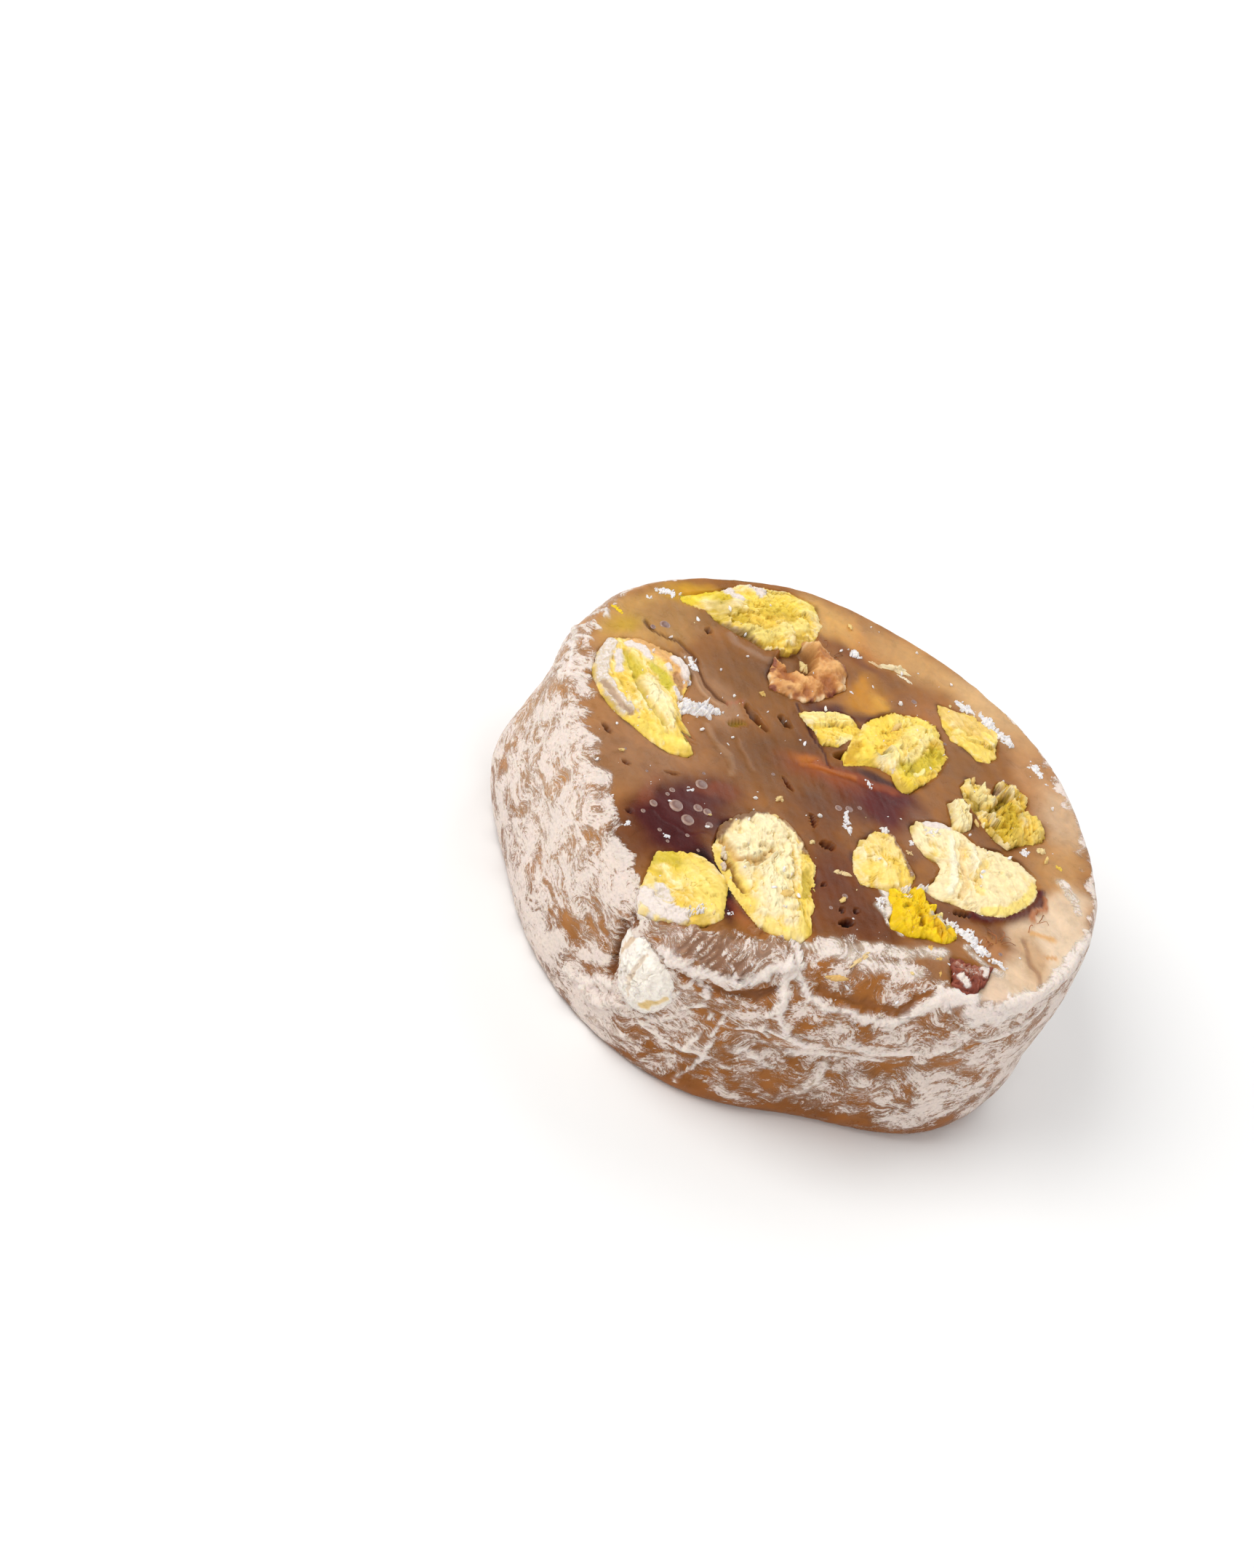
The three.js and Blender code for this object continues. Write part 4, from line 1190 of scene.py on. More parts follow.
# Marks on the kernels: half width, rise in mm, powder, strength, colour and the places they run
# through.
MARKS = {
    "kernel_far_left": (
        (1.3, 0, 0, 0.7, (246, 220, 52), ((-20.4, 15.5), (-19.4, 16.8), (-17.6, 17.6))),
        (1.0, 0, 0, 0.6, (206, 176, 30), ((-17.3, 16.6), (-16.8, 15.2), (-15, 16))),
        (1.6, 0, 0, 0.55, (250, 222, 84), ((-14.6, 18.6), (-12.4, 20.4), (-10, 21.4))),
        (0.8, 0.15, 0, 0.65, (250, 230, 140), ((-13.8, 15), (-11.8, 15.4), (-10.4, 17.2), (-9.4, 18.8))),
        (0.6, 0.1, 0.7, 0.8, (248, 240, 222), ((-17, 18.9), (-15.9, 18.2))),
        (0.6, 0.1, 0.7, 0.8, (248, 240, 222), ((-15.2, 20.6), (-14.4, 20.2))),
        (0.5, -0.4, 0, 0.8, (112, 66, 14), ((-16.4, 14.1), (-14, 14.1), (-12, 13.9))),
    ),
    "kernel_skinned": (
        (1.1, 0.1, 0, 0.85, (228, 172, 112), ((-22.2, 6.6), (-19.8, 6.5), (-17.6, 5.9), (-16.9, 4.2))),
        (
            0.7, 0.3, 0.55, 0.8, (232, 214, 190),
            ((-24.3, 4.6), (-24.2, 2.1), (-23.4, -0.2), (-21.8, -1.8), (-20, -2.9)),
        ),
        (0.3, -0.1, 0, 0.6, (140, 92, 76), ((-23.1, -0.9), (-20.8, -2.6), (-19.4, -3.2))),
        (0.5, 0.1, 0.75, 0.8, (244, 232, 214), ((-23.1, 3.6), (-22.3, 1.4))),
        (0.5, 0.2, 0.9, 0.9, (246, 240, 232), ((-22.8, 5.3), (-21.4, 5.6), (-20.6, 4.8))),
        (
            0.35, -0.45, 0, 0.8, (206, 184, 70),
            ((-22.6, 4.3), (-20.9, 1.7), (-19.7, 0.1), (-18.1, -1.3), (-16.2, -2.7)),
        ),
        (0.9, -0.1, 0, 0.8, (216, 196, 66), ((-21.9, 3.4), (-20.9, 2.2))),
        (0.7, 0, 0, 0.9, (206, 190, 44), ((-19.6, 3.8), (-18.4, 3.2), (-17.9, 2.4))),
        (1.0, 0.2, 0, 0.6, (255, 242, 200), ((-19.3, 1.5), (-17.8, 0.2), (-16.8, -0.8))),
        (0.5, -0.2, 0, 0.75, (176, 128, 88), ((-17.4, 4.3), (-16.5, 2.8), (-15.7, 0.9))),
        (0.5, 0.25, 1.0, 1.0, (246, 242, 240), ((-18.3, 6.3), (-17.2, 6), (-16.7, 4.8))),
        (0.3, 0.2, 1.0, 1.0, (246, 242, 240), ((-18.7, 4.9), (-18.3, 4.5))),
        (0.35, 0.2, 1.0, 1.0, (246, 242, 240), ((-16.9, 2.5), (-16.4, 1.9))),
        (0.8, 0.15, 0, 0.7, (250, 222, 104), ((-17.9, -3.9), (-16, -4.2), (-14.3, -3.9), (-13.3, -3.2))),
        (0.25, -0.5, 0, 0.8, (160, 120, 40), ((-13.9, -3), (-13.6, -2.9))),
    ),
    "kernel_chip": (
        (0.8, 0.1, 0, 0.6, (254, 236, 160), ((-5, 7.9), (-3.5, 8.9), (-2, 9.6))),
        (0.6, 0.1, 0, 0.7, (254, 240, 184), ((-1.2, 6.6), (-0.8, 7.6))),
        (1.0, -0.1, 0, 0.5, (250, 216, 84), ((-3.4, 7.2), (-1.9, 7.8), (-0.6, 9))),
    ),
    "kernel_diamond": (
        (1.3, -0.2, 0, 0.8, (252, 218, 82), ((0.4, 5.2), (1.3, 7.1), (1.1, 9.2), (1.6, 12))),
        (1.0, 0, 0, 0.5, (254, 232, 120), ((2.6, 13), (4.6, 14), (6, 13.6))),
        (0.8, 0.2, 0, 0.6, (254, 232, 150), ((4.7, 13), (4.1, 10), (3.6, 7.4))),
        (0.5, 0.1, 0, 0.6, (254, 238, 176), ((5.8, 12.4), (5.6, 10), (5, 8))),
        (0.5, -0.3, 0, 0.8, (206, 160, 24), ((0.3, 7.2), (0.1, 6), (0.5, 5))),
        (1.0, -0.3, 0, 0.8, (206, 186, 44), ((7.3, 11.4), (6.9, 9.6), (6, 7.6), (5.2, 6.8))),
        (0.3, 0.2, 0, 0.8, (252, 238, 170), ((6.9, 8.4), (6.3, 7.2))),
        (0.8, 0.1, 0, 0.7, (246, 214, 56), ((6.3, 5.7), (5.8, 5.9))),
    ),
    "kernel_far_right": (
        (1.2, 0, 0, 0.7, (232, 196, 112), ((6.6, 17.9), (8.6, 17.4), (10.4, 17.6))),
        (0.8, 0.1, 0, 0.6, (248, 220, 112), ((8.2, 15.5), (10, 15.2), (11.5, 14.6))),
        (0.4, 0.1, 0.2, 0.8, (250, 226, 120), ((10.6, 17.2), (11.6, 16.8))),
    ),
    "kernel_crumbled": (
        (1.2, 0.1, 0, 0.95, (222, 188, 48), ((15.2, 9.1), (16, 7.6), (16.3, 5.8))),
        (0.5, -0.9, 0, 0.95, (176, 146, 30), ((11.9, 8.4), (12.9, 7.6), (13.8, 7.4))),
        (0.45, -0.9, 0, 0.95, (170, 140, 30), ((14.3, 8), (14.5, 9), (14.8, 10.2))),
        (0.6, 0.2, 0, 0.8, (250, 230, 160), ((11.2, 9.6), (12.4, 9.1), (13.2, 8.6))),
        (0.9, 0.3, 0, 0.8, (240, 206, 90), ((17.3, 9.6), (18.7, 8.4), (18, 6.9), (17.2, 5.6))),
        (0.7, 0.2, 0, 0.8, (220, 178, 52), ((14.5, 11.9), (15.8, 11.7))),
        (0.4, -0.9, 0, 0.8, (118, 66, 30), ((13.6, 10.2), (13.9, 11))),
    ),
    "kernel_crumb": ((1.0, 0.2, 0, 0.6, (254, 238, 186), ((11.2, 6.2), (12.2, 4.6))),),
    "kernel_boot": (
        (0.35, 0.25, 0, 0.7, (255, 246, 220), ((11.6, 1.6), (12.4, -0.4), (13.4, -2.7), (13.6, -5.2))),
        (0.3, -0.3, 0, 0.6, (236, 204, 140), ((12.8, 1.8), (13.6, -0.6), (14.6, -2.8), (14.8, -5))),
        (0.35, 0.2, 0, 0.6, (255, 244, 214), ((13.8, 2), (14.4, 0.2), (15.2, -1.4))),
        (2.4, -0.15, 0, 0.9, (253, 230, 178), ((17.6, 1), (18.2, -1.2), (17.2, -3.2))),
        (0.4, -0.1, 0, 0.7, (250, 216, 120), ((15.6, 0.9), (15.4, -1.4), (16.2, -3.4))),
        (0.5, 0, 0, 0.75, (248, 220, 104), ((20.6, 1.4), (20.4, -0.6), (19.2, -3.6), (17.2, -5.1))),
        (0.9, 0, 0, 0.6, (252, 232, 186), ((8.9, 1.1), (10.6, 1.8), (12.4, 2.2))),
        (0.6, 0.1, 0.8, 0.9, (246, 240, 230), ((9.2, 2.2), (10.8, 2.8))),
    ),
    "kernel_small": (
        (1.2, 0.1, 0, 0.6, (248, 218, 140), ((5.6, -4), (7, -3.6))),
        (1.0, 0, 0, 0.7, (250, 214, 96), ((6.2, -7.4), (8, -7.4), (9, -5.8))),
        (0.3, 0.15, 0.3, 0.85, (140, 92, 76), ((6.6, -2), (8, -3), (9.1, -4.1), (10, -5.2))),
    ),
    "kernel_bright": (
        (1.1, 0.3, 0, 0.95, (246, 204, 4), ((10.7, -9.8), (11, -11.4), (11.6, -11.6))),
        (0.8, 0.1, 0, 0.95, (250, 210, 10), ((11.2, -7), (12.2, -8.6))),
        (0.7, 0, 0, 0.8, (226, 178, 20), ((13.4, -9.6), (14.8, -10.2))),
        (0.3, 0.3, 0.5, 0.9, (252, 236, 180), ((12.9, -8.6), (13.6, -9.2), (14.4, -9.4))),
        (0.3, -0.5, 0, 0.8, (170, 120, 6), ((12.3, -9.6), (12.5, -11))),
    ),
    "kernel_red": (
        (0.5, 0, 0.35, 0.6, (184, 124, 100), ((16.8, -12.9), (18, -13.2), (19.4, -12.6))),
        (0.4, 0.1, 0.9, 0.9, (240, 230, 226), ((17.6, -14.2), (18.4, -14.6))),
        (0.3, 0.1, 0.9, 0.9, (240, 230, 226), ((19.2, -11.9), (19.5, -12.6))),
    ),
    "kernel_near": (
        (0.8, -0.1, 0, 0.8, (206, 182, 30), ((-11, -17.6), (-10, -16.7), (-9, -17.4))),
        (0.9, 0, 0, 0.5, (214, 186, 40), ((-10.6, -19.4), (-9.6, -20.6))),
        (1.6, 0.1, 0, 0.6, (250, 224, 120), ((-7.6, -17.4), (-5.6, -18.6), (-5, -19.8))),
        (1.0, 0.1, 0.75, 0.8, (246, 236, 214), ((-10.6, -21.4), (-9, -22.3), (-7, -22.2))),
        (0.5, 0.1, 0.6, 0.7, (248, 240, 220), ((-9.8, -20.2), (-8.6, -20.9))),
    ),
    "kernel_large": (
        (2.0, 0.35, 0, 0.7, (254, 236, 192), ((-4.6, -9), (-3.4, -11.2), (-4.4, -13.4))),
        (0.3, -0.7, 0, 0.8, (206, 160, 70), ((-6.6, -12.8), (-4.8, -14.6), (-3.3, -14.2), (-2.3, -11.8))),
        (0.9, -0.3, 0, 0.8, (248, 214, 88), ((-6.2, -14.6), (-3.9, -16.6), (-2, -18.2))),
        # A dark groove under a ledge on the lower left, darkened as painted shade.
        (0.25, -0.6, 0, 0.9, (150, 100, 34), ((-6, -14.2), (-4.4, -15.8), (-3, -17))),
        (0.9, 0, 0, 0.7, (246, 212, 70), ((0.7, -9.8), (2, -12.6), (2.9, -15.6), (3.4, -18))),
        (0.3, 0.2, 0.2, 0.8, (240, 210, 150), ((-6.7, -11.6), (-6.2, -10.2))),
        (0.5, -0.2, 0, 0.7, (196, 170, 50), ((1.4, -11.6), (2.2, -13.8))),
        (1.6, 0.1, 0, 0.5, (255, 240, 196), ((-1.6, -13), (0, -16))),
        (0.8, 0, 0, 0.6, (248, 216, 84), ((0.2, -19.2), (2.4, -19.2))),
        # These two: a dark brown crust along the upper rim that also stands in for the shade there.
        (0.5, 0.15, 0, 0.85, (112, 60, 36), ((-7.4, -12.4), (-7.1, -10.6), (-6.2, -8.8), (-4.6, -7.3))),
        (0.35, 0.1, 0, 0.75, (130, 72, 40), ((-2.6, -6.8), (-1.1, -7.5), (0.5, -9.2))),
    ),
}
# Own colours of a kernel: palest, middling and greenest.
OWN_COLOURS = {
    "kernel_bright": ((254, 226, 40), (246, 206, 6), (224, 178, 6)),
    "kernel_red": ((160, 84, 60), (130, 60, 42), (100, 42, 30)),
}
# Height of the curled skin's crest, as a share of its own, every 30 degrees from +X.
CREST = (1.1, 1.5, 1.7, 1.8, 1.9, 0.5, 0.15, 0.3, 0.6, 0.8, 0.8, 0.9)
# Middle of the crest's curve, and the open pocket inside it: place, half length, half width, turn.
CREST_X = -8.4
CREST_Y = 14.4
POCKET = (-8.8, 14.8, 3.0, 1.75, 128)
# Marks on the side kernel, up first and then away from +X, in mm from its middle.
SIDE_MARKS = (
    (0.5, -0.1, 0, 0.8, (226, 186, 92), ((-1.4, -1.9), (-2.2, -1.5))),
    (0.3, -0.1, 0, 0.7, (230, 192, 104), ((-0.4, -2.6), (-1.1, -2.3))),
    (0.35, 0, 0.1, 0.7, (226, 188, 110), ((-4.6, 0.4), (-4.4, -0.3))),
    (0.25, -0.2, 0.1, 0.7, (206, 168, 124), ((3.4, 2.4), (1, 3), (-1.6, 2.7), (-3.4, 1.6))),
    (0.2, -0.15, 0.2, 0.5, (214, 184, 150), ((2.6, 0.6), (0.4, 0.9), (-2.2, 0.2))),
    (0.3, 0, 0, 0.6, (232, 196, 116), ((3.9, -2.4), (3.2, -3))),
)


def painted_marks(points, marks, tone, dust):
    """Paints marks over places on the cut; returns the colours, powder and rise."""
    rise = np.zeros(len(points))
    flat = at_level(points, 0) / 0.9
    loose = points + 0.22 * np.stack([layered(flat, 2, 161), layered(flat, 2, 162)], 1)
    for row in marks:
        share = smooth(1.25, 0.55, apart(loose, np.array(row[5], float)) / row[0])
        tone, dust, rise = draw_mark(row, share, tone, dust, rise)
    return tone, dust, rise


def dome(count, rows, side_rows):
    """Shares of the radius, turns and falls of a closed dome with a skirt, with its triangles."""
    steps = [(share, 0.0) for share in np.linspace(1 / rows, 1, rows)]
    falls = np.linspace(1 / side_rows, 1, side_rows)
    steps += [(1.0 - 0.25 * fall**2, fall) for fall in falls]
    counts, turns, faces = closed_mesh([count] * len(steps))
    shares = np.repeat([0.0, *(share for share, _ in steps), 0.0], counts)
    falls = np.repeat([0.0, *(fall for _, fall in steps), 1.0], counts)
    return shares, turns, falls, faces


def kernel_relief(local, way, rough, long, seed):
    """Relief in mm of broken nut flesh over places in a kernel's plane, with the fibres, the
    crumbly grain and the cracks that its colour follows."""
    angle = math.radians(way)
    along = local[:, 0] * math.cos(angle) + local[:, 1] * math.sin(angle)
    across = local[:, 1] * math.cos(angle) - local[:, 0] * math.sin(angle)
    plane = np.stack([along, across, np.full(len(along), seed * 0.71)], 1)
    bend = np.stack([layered(plane / 1.7, 3, seed), layered(plane / 1.7, 3, seed + 9)], 1)
    cells = np.stack([along / long, across / (long * 0.55)], 1) + 0.5 * bend
    crack, level, lean = shards(cells, seed + 1)
    _, small_level, small_lean = shards(cells * 2.4 + 0.4 * bend, seed + 2)
    drawn = plane * np.array([0.5, 2.6, 1]) + at_level(bend, 0)
    fibres = layered(drawn, 3, seed + 3, 0.6)
    crumbly = layered(plane / 0.5, 3, seed + 4, 0.65)
    broad = layered(plane / 3.2, 2, seed + 5)
    gap = smooth(0.05, 0.0, crack) * smooth(-0.2, 0.3, mottle(plane / 1.4, seed + 8))
    relief = 0.5 * level + 0.9 * lean + 0.16 * small_level + 0.4 * small_lean
    relief = rough * (relief + 0.26 * fibres + 0.2 * crumbly + 0.5 * broad)
    return relief - 0.5 * rough * gap, fibres, crumbly, gap


def kernel_colours(name, settings):
    """The palest, the middling and the greenest colour of a kernel's flesh."""
    if name in OWN_COLOURS:
        return tuple(paint(*colour) for colour in OWN_COLOURS[name])
    return tuple(np.array(colour) for colour in (settings.cream, settings.yellow, settings.green))


def paint_kernel(name, settings, broken, share, local):
    """Colour and powder of a kernel's points, with painted shade in its cracks and at its rim."""
    relief, fibres, crumbly, gap = broken
    pale, greenish = LOOKS[name][:2]
    cream, yellow, green = kernel_colours(name, settings)
    flat = at_level(local, float(len(name)))
    patch = layered(flat / 2.4, 4, 141 + len(name), 0.6)
    other = layered(flat / 3.4, 3, 171 + len(name), 0.6)
    paleness = 0.5 * relief + 0.5 * other + 0.4 * fibres + 0.25 * crumbly + (pale - 0.5) * 1.6
    tone = yellow + smooth(-0.5, 0.5, paleness)[:, None] * (cream - yellow)
    olive = patch + (greenish - 0.5) * 1.1 + 0.3 * smooth(0.75, 1.0, share) - 0.3 * relief
    tone = tint(tone, 0.75 * smooth(0.0, 0.5, olive), green)
    # Painted shade in the cracks between the shards of flesh.
    tone *= (1 - 0.35 * gap)[:, None] * np.array([1, 0.94, 0.75]) ** gap[:, None]
    # A darker rim: partly painted shade at the kernel's border, partly a film of jelly over its edge.
    dimmed = smooth(0.86, 1.0, share) * smooth(-0.1, 0.4, patch)
    tone = tint(tone, 0.5 * dimmed, yellow * 0.72)
    dust = 0.4 * smooth(0.35, 0.9, patch * -0.6 + 0.6 * layered(flat / 0.8, 2, 151))
    return tone, dust


def kernel_rim(name, turn, rough, seed):
    """Distance from a kernel's place to its ragged edge at each turn."""
    edge = kernel_reach(name, turn)
    ring = at_level(fan(turn, edge), seed * 0.37)
    torn = np.abs(layered(ring / 0.8, 3, seed + 7, 0.6))
    jagged = layered(ring / 1.3, 4, seed + 6, 0.7) - 0.6 * torn
    return edge + (0.15 + rough * 0.2) * jagged + 0.15


def build_kernel(name, settings):
    """One kernel of the cut as a closed block of broken flesh."""
    middle, depth, proud = KERNELS[name][:3]
    rough, long, way = LOOKS[name][2:5]
    seed = 200 + 11 * list(KERNELS).index(name)
    size = float(kernel_reach(name, np.linspace(0, math.tau, 60)).max())
    count = int(max(120, min(300, size * 44)))
    rows = int(max(18, min(48, size * 7.5)))
    share, turn, fall, faces = dome(count, rows, 7)
    local = fan(turn, kernel_rim(name, turn, rough, seed), share)
    broken = kernel_relief(local, way, rough, long, seed)
    relief, fibres, crumbly, _ = broken
    tone, dust = paint_kernel(name, settings, broken, share, local)
    place = local + middle
    tone, dust, rise = painted_marks(place, MARKS[name], tone, dust)
    tone = tone * (1 + 0.12 * fibres + 0.08 * crumbly)[:, None]
    floor = cut_height(*place.T)
    craggy = settings.craggy / MM * relief * (1 - 0.5 * share**8)
    height = floor + np.maximum(proud * 0.55 * (1 - share**5) + craggy + rise, -1.1)
    height = np.where(fall > 0, floor - 0.4 - fall * (depth - 0.4), height)
    points = at_level(place, height)
    return make_piece(name + "_flesh", "pistachio_flesh", points, faces, tone, dust)


def curl_colour(share, crinkle, patch, inner):
    """Colour of the curled skin: papery brown, lighter on its raised crinkles as painted highlight, darker
    in their hollows and in its pocket as painted shade, and torn at its edge into dark red skin and pale
    cream bits that are partly painted highlight.
    """
    # Painted highlight: raised crinkles and patches come out lighter.
    light = smooth(-0.35, 0.45, crinkle + 0.4 * patch)
    tone = paint(190, 122, 62) + light[:, None] * (paint(234, 178, 112) - paint(190, 122, 62))
    # Painted shade in the open pocket.
    tone = tint(tone, 0.9 * (1 - inner), paint(126, 82, 46))
    # Painted shade in the hollows of the crinkles.
    tone = tint(tone, 0.6 * smooth(0.15, 0.5, -crinkle) * inner, paint(148, 84, 48))
    # The torn edge: dark red skin, and pale cream bits that are partly painted highlight.
    ragged = smooth(0.78, 0.95, share + 0.1 * crinkle)
    tone = tint(tone, 0.85 * ragged * smooth(0.0, 0.25, patch), paint(124, 54, 46))
    return tint(tone, 0.8 * ragged * smooth(0.0, -0.25, patch), paint(250, 220, 176))


def build_curl():
    """The curled, papery skin: a torn shell with a crinkled crest, open towards one side."""
    middle, depth, proud = KERNELS["skin_curl"][:3]
    share, turn, fall, faces = dome(260, 56, 6)
    place = fan(turn, kernel_rim("skin_curl", turn, 1.2, 301), share) + middle
    flat = at_level(place, 0)
    crinkle = layered(flat / 1.9, 4, 311, 0.5)
    patch = layered(flat / 1.9, 3, 331)
    inner = smooth(0.75, 1.2, oval(place, *POCKET) + 0.3 * crinkle)
    outer = 1 - 0.5 * smooth(0.5, 1.0, share) - 0.4 * share**12
    tall = around(CREST, np.arctan2(place[:, 1] - CREST_Y, place[:, 0] - CREST_X))
    height = proud * 0.7 * tall * inner * outer - 0.9 * (1 - inner)
    height = height + 0.5 * crinkle * inner + 0.15 * patch
    base = cut_height(*place.T)
    height = np.where(fall > 0, base - 0.3 - fall * (depth - 0.3), base + height)
    tone = curl_colour(share, crinkle, patch, inner)
    dust = 0.2 * smooth(0.4, 0.8, layered(flat / 0.7, 2, 321))
    points = at_level(place, height)
    return make_piece("curled_skin", "pistachio_skin", points, faces, tone, dust)


def build_side_kernel():
    """The powdered kernel that stands out of the side."""
    share, turn, fall, faces = dome(220, 44, 7)
    edge = around(SIDE_RADII, turn - math.radians(SIDE_TURN))
    edge = edge * (1 + 0.05 * layered(at_level(fan(turn, edge), 0) / 1.3, 4, 401, 0.65))
    local = fan(turn, edge, share)
    relief, _, crumbly, _ = kernel_relief(local, 20, 0.6, 4.2, 405)
    tone = np.tile(paint(252, 244, 232), (len(share), 1))
    tone, dust, rise = painted_marks(local, SIDE_MARKS, tone, np.full(len(share), 0.3))
    tone *= (1 + 0.05 * crumbly)[:, None]
    dust = np.clip(dust + 0.25 * relief + 0.2 * crumbly, 0, 0.8)
    proud = SIDE_PROUD * (1 - share**2.6) + 0.5 * relief * (1 - share**6)
    out = np.where(fall > 0, -fall * SIDE_DEPTH, proud + rise)
    angle = math.radians(SIDE_BEARING)
    outward = np.array([math.cos(angle), math.sin(angle), 0])
    tangent = np.array([-math.sin(angle), math.cos(angle), 0])
    up = np.array([0, 0, 1])
    centre = outward * (float(around(GIRTH, angle)) - SIDE_SINK) + SIDE_HEIGHT * up
    points = centre + local[:, :1] * up - local[:, 1:] * tangent + out[:, None] * outward
    return make_piece("powdered_kernel", "pistachio_flesh", points, faces, tone, dust)


# ---------------- loose bits

# Heaps of powder: place, half length, half width, turn and height in mm.
POWDER_HEAPS = (
    (-22.2, 15.4, 1.25, 0.6, 20, 0.5),
    (-23.4, 13.5, 0.4, 0.3, 0, 0.3),
    (-14.7, 1.5, 2.5, 1.15, 28, 1.3),
    (-12.8, 2.7, 0.9, 0.6, 40, 0.7),
    (-16.8, 7.2, 1.2, 0.45, 150, 0.5),
    (-18.2, 6.2, 0.45, 0.3, 20, 0.5),
    (-16.4, 4.3, 0.55, 0.4, 60, 0.5),
    (-20.4, 6.0, 0.35, 0.25, 10, 0.9),
    (-3.7, 19.3, 0.9, 0.55, 160, 0.5),
    (2.8, 3.2, 0.65, 0.32, 130, 0.4),
    (2.3, -2.5, 0.8, 0.4, 110, 0.5),
    (3.1, -3.9, 0.9, 0.32, 140, 0.4),
    (5.9, -1.5, 0.5, 0.35, 120, 0.4),
    (9.9, 0.9, 1.0, 0.4, 20, 1.2),
    (8.6, -1.2, 0.4, 0.25, 120, 0.4),
    (8.3, -10.4, 0.75, 0.3, 110, 0.4),
    (9.9, -7.6, 0.5, 0.4, 40, 1.3),
    (10.3, -8.6, 0.35, 0.5, 40, 1.4),
    (16.9, -9.1, 1.4, 0.9, 165, 0.6),
    (18.5, -9.8, 1.1, 0.8, 130, 0.5),
    (9.2, -8.6, 0.6, 0.45, 60, 0.6),
    (8.5, -9.9, 0.5, 0.35, 110, 0.4),
    (11.2, -6.2, 0.5, 0.3, 20, 1.0),
    (14.9, -8.6, 0.7, 0.4, 0, 0.7),
    (20.1, -10.3, 1.0, 0.5, 170, 0.45),
    (16.0, -8.9, 0.8, 0.5, 10, 0.5),
    (7.9, 19.8, 1.7, 0.6, 166, 0.5),
    (10.6, 19.1, 1.5, 0.75, 150, 0.6),
    (12.6, 18.1, 1.3, 0.6, 150, 0.6),
    (16.6, 16.0, 1.5, 0.7, 140, 0.3),
    (18.5, 5.1, 0.65, 0.45, 100, 0.4),
    (-5.6, -20.6, 0.9, 0.6, 60, 1.1),
    (-6.9, -21.6, 1.0, 0.6, 20, 0.9),
    (-3.0, -19.7, 0.4, 0.3, 0, 0.3),
    (-2.4, 14.0, 0.2, 0.16, 0, 0.2),
    (0.7, -16.8, 0.3, 0.2, 0, 1.2),
    (-11.4, -8.6, 0.4, 0.25, 30, 0.25),
    (-14.9, -15.2, 0.45, 0.2, 60, 0.25),
    (-11.3, -14.9, 0.4, 0.2, 10, 0.2),
    (14.6, -3.9, 0.5, 0.3, 30, 0.3),
)
# Crumbs of nut: place, half length, half width, turn, height and colour.
NUT_CRUMBS = (
    (-25.2, 9.9, 0.85, 0.42, 150, 0.22, (244, 206, 8)),
    (-3.8, -4.2, 0.5, 0.3, 20, 0.45, (236, 206, 146)),
    (-9.7, 8.0, 0.3, 0.26, 0, 0.4, (226, 188, 110)),
    (-7.4, 14.0, 0.7, 0.35, 125, 0.5, (240, 214, 150)),
    (0.4, 20.2, 1.5, 0.5, 15, 0.5, (240, 220, 178)),
    (-1.5, 19.4, 0.8, 0.18, 5, 0.3, (232, 200, 156)),
    (1.7, 19.6, 0.9, 0.2, 170, 0.3, (244, 228, 200)),
    (4.1, -9.1, 0.9, 0.3, 15, 0.35, (240, 212, 160)),
    (13.2, -9.4, 0.7, 0.5, 20, 0.8, (240, 205, 90)),
    (14.2, -10.2, 0.6, 0.5, 60, 0.6, (214, 168, 30)),
    (13.6, -8.5, 0.45, 0.3, 60, 0.7, (246, 226, 150)),
    (14.1, -12.6, 0.5, 0.38, 80, 0.2, (222, 176, 92)),
    (15.3, -13.3, 0.4, 0.28, 30, 0.2, (224, 180, 98)),
    (15.9, -14.8, 0.4, 0.2, 110, 0.2, (222, 176, 96)),
    (9.2, -16.9, 1.9, 0.3, 70, 0.25, (236, 204, 148)),
    (7.8, -20.8, 0.9, 0.3, 30, 0.2, (226, 182, 110)),
    (19.8, 6.4, 0.5, 0.4, 40, 0.45, (238, 214, 160)),
    (22.0, 5.4, 0.5, 0.3, 160, 0.2, (226, 190, 70)),
    (8.9, -2.6, 0.36, 0.3, 0, 0.4, (232, 200, 150)),
    (0.5, -7.4, 0.35, 0.2, 50, 0.4, (240, 216, 160)),
    (-6.4, -11.2, 0.5, 0.22, 110, 0.7, (240, 214, 156)),
    (-6.2, -13.8, 0.6, 0.22, 125, 0.6, (232, 216, 190)),
    (-5.6, -15.2, 0.4, 0.2, 125, 0.5, (232, 212, 196)),
)
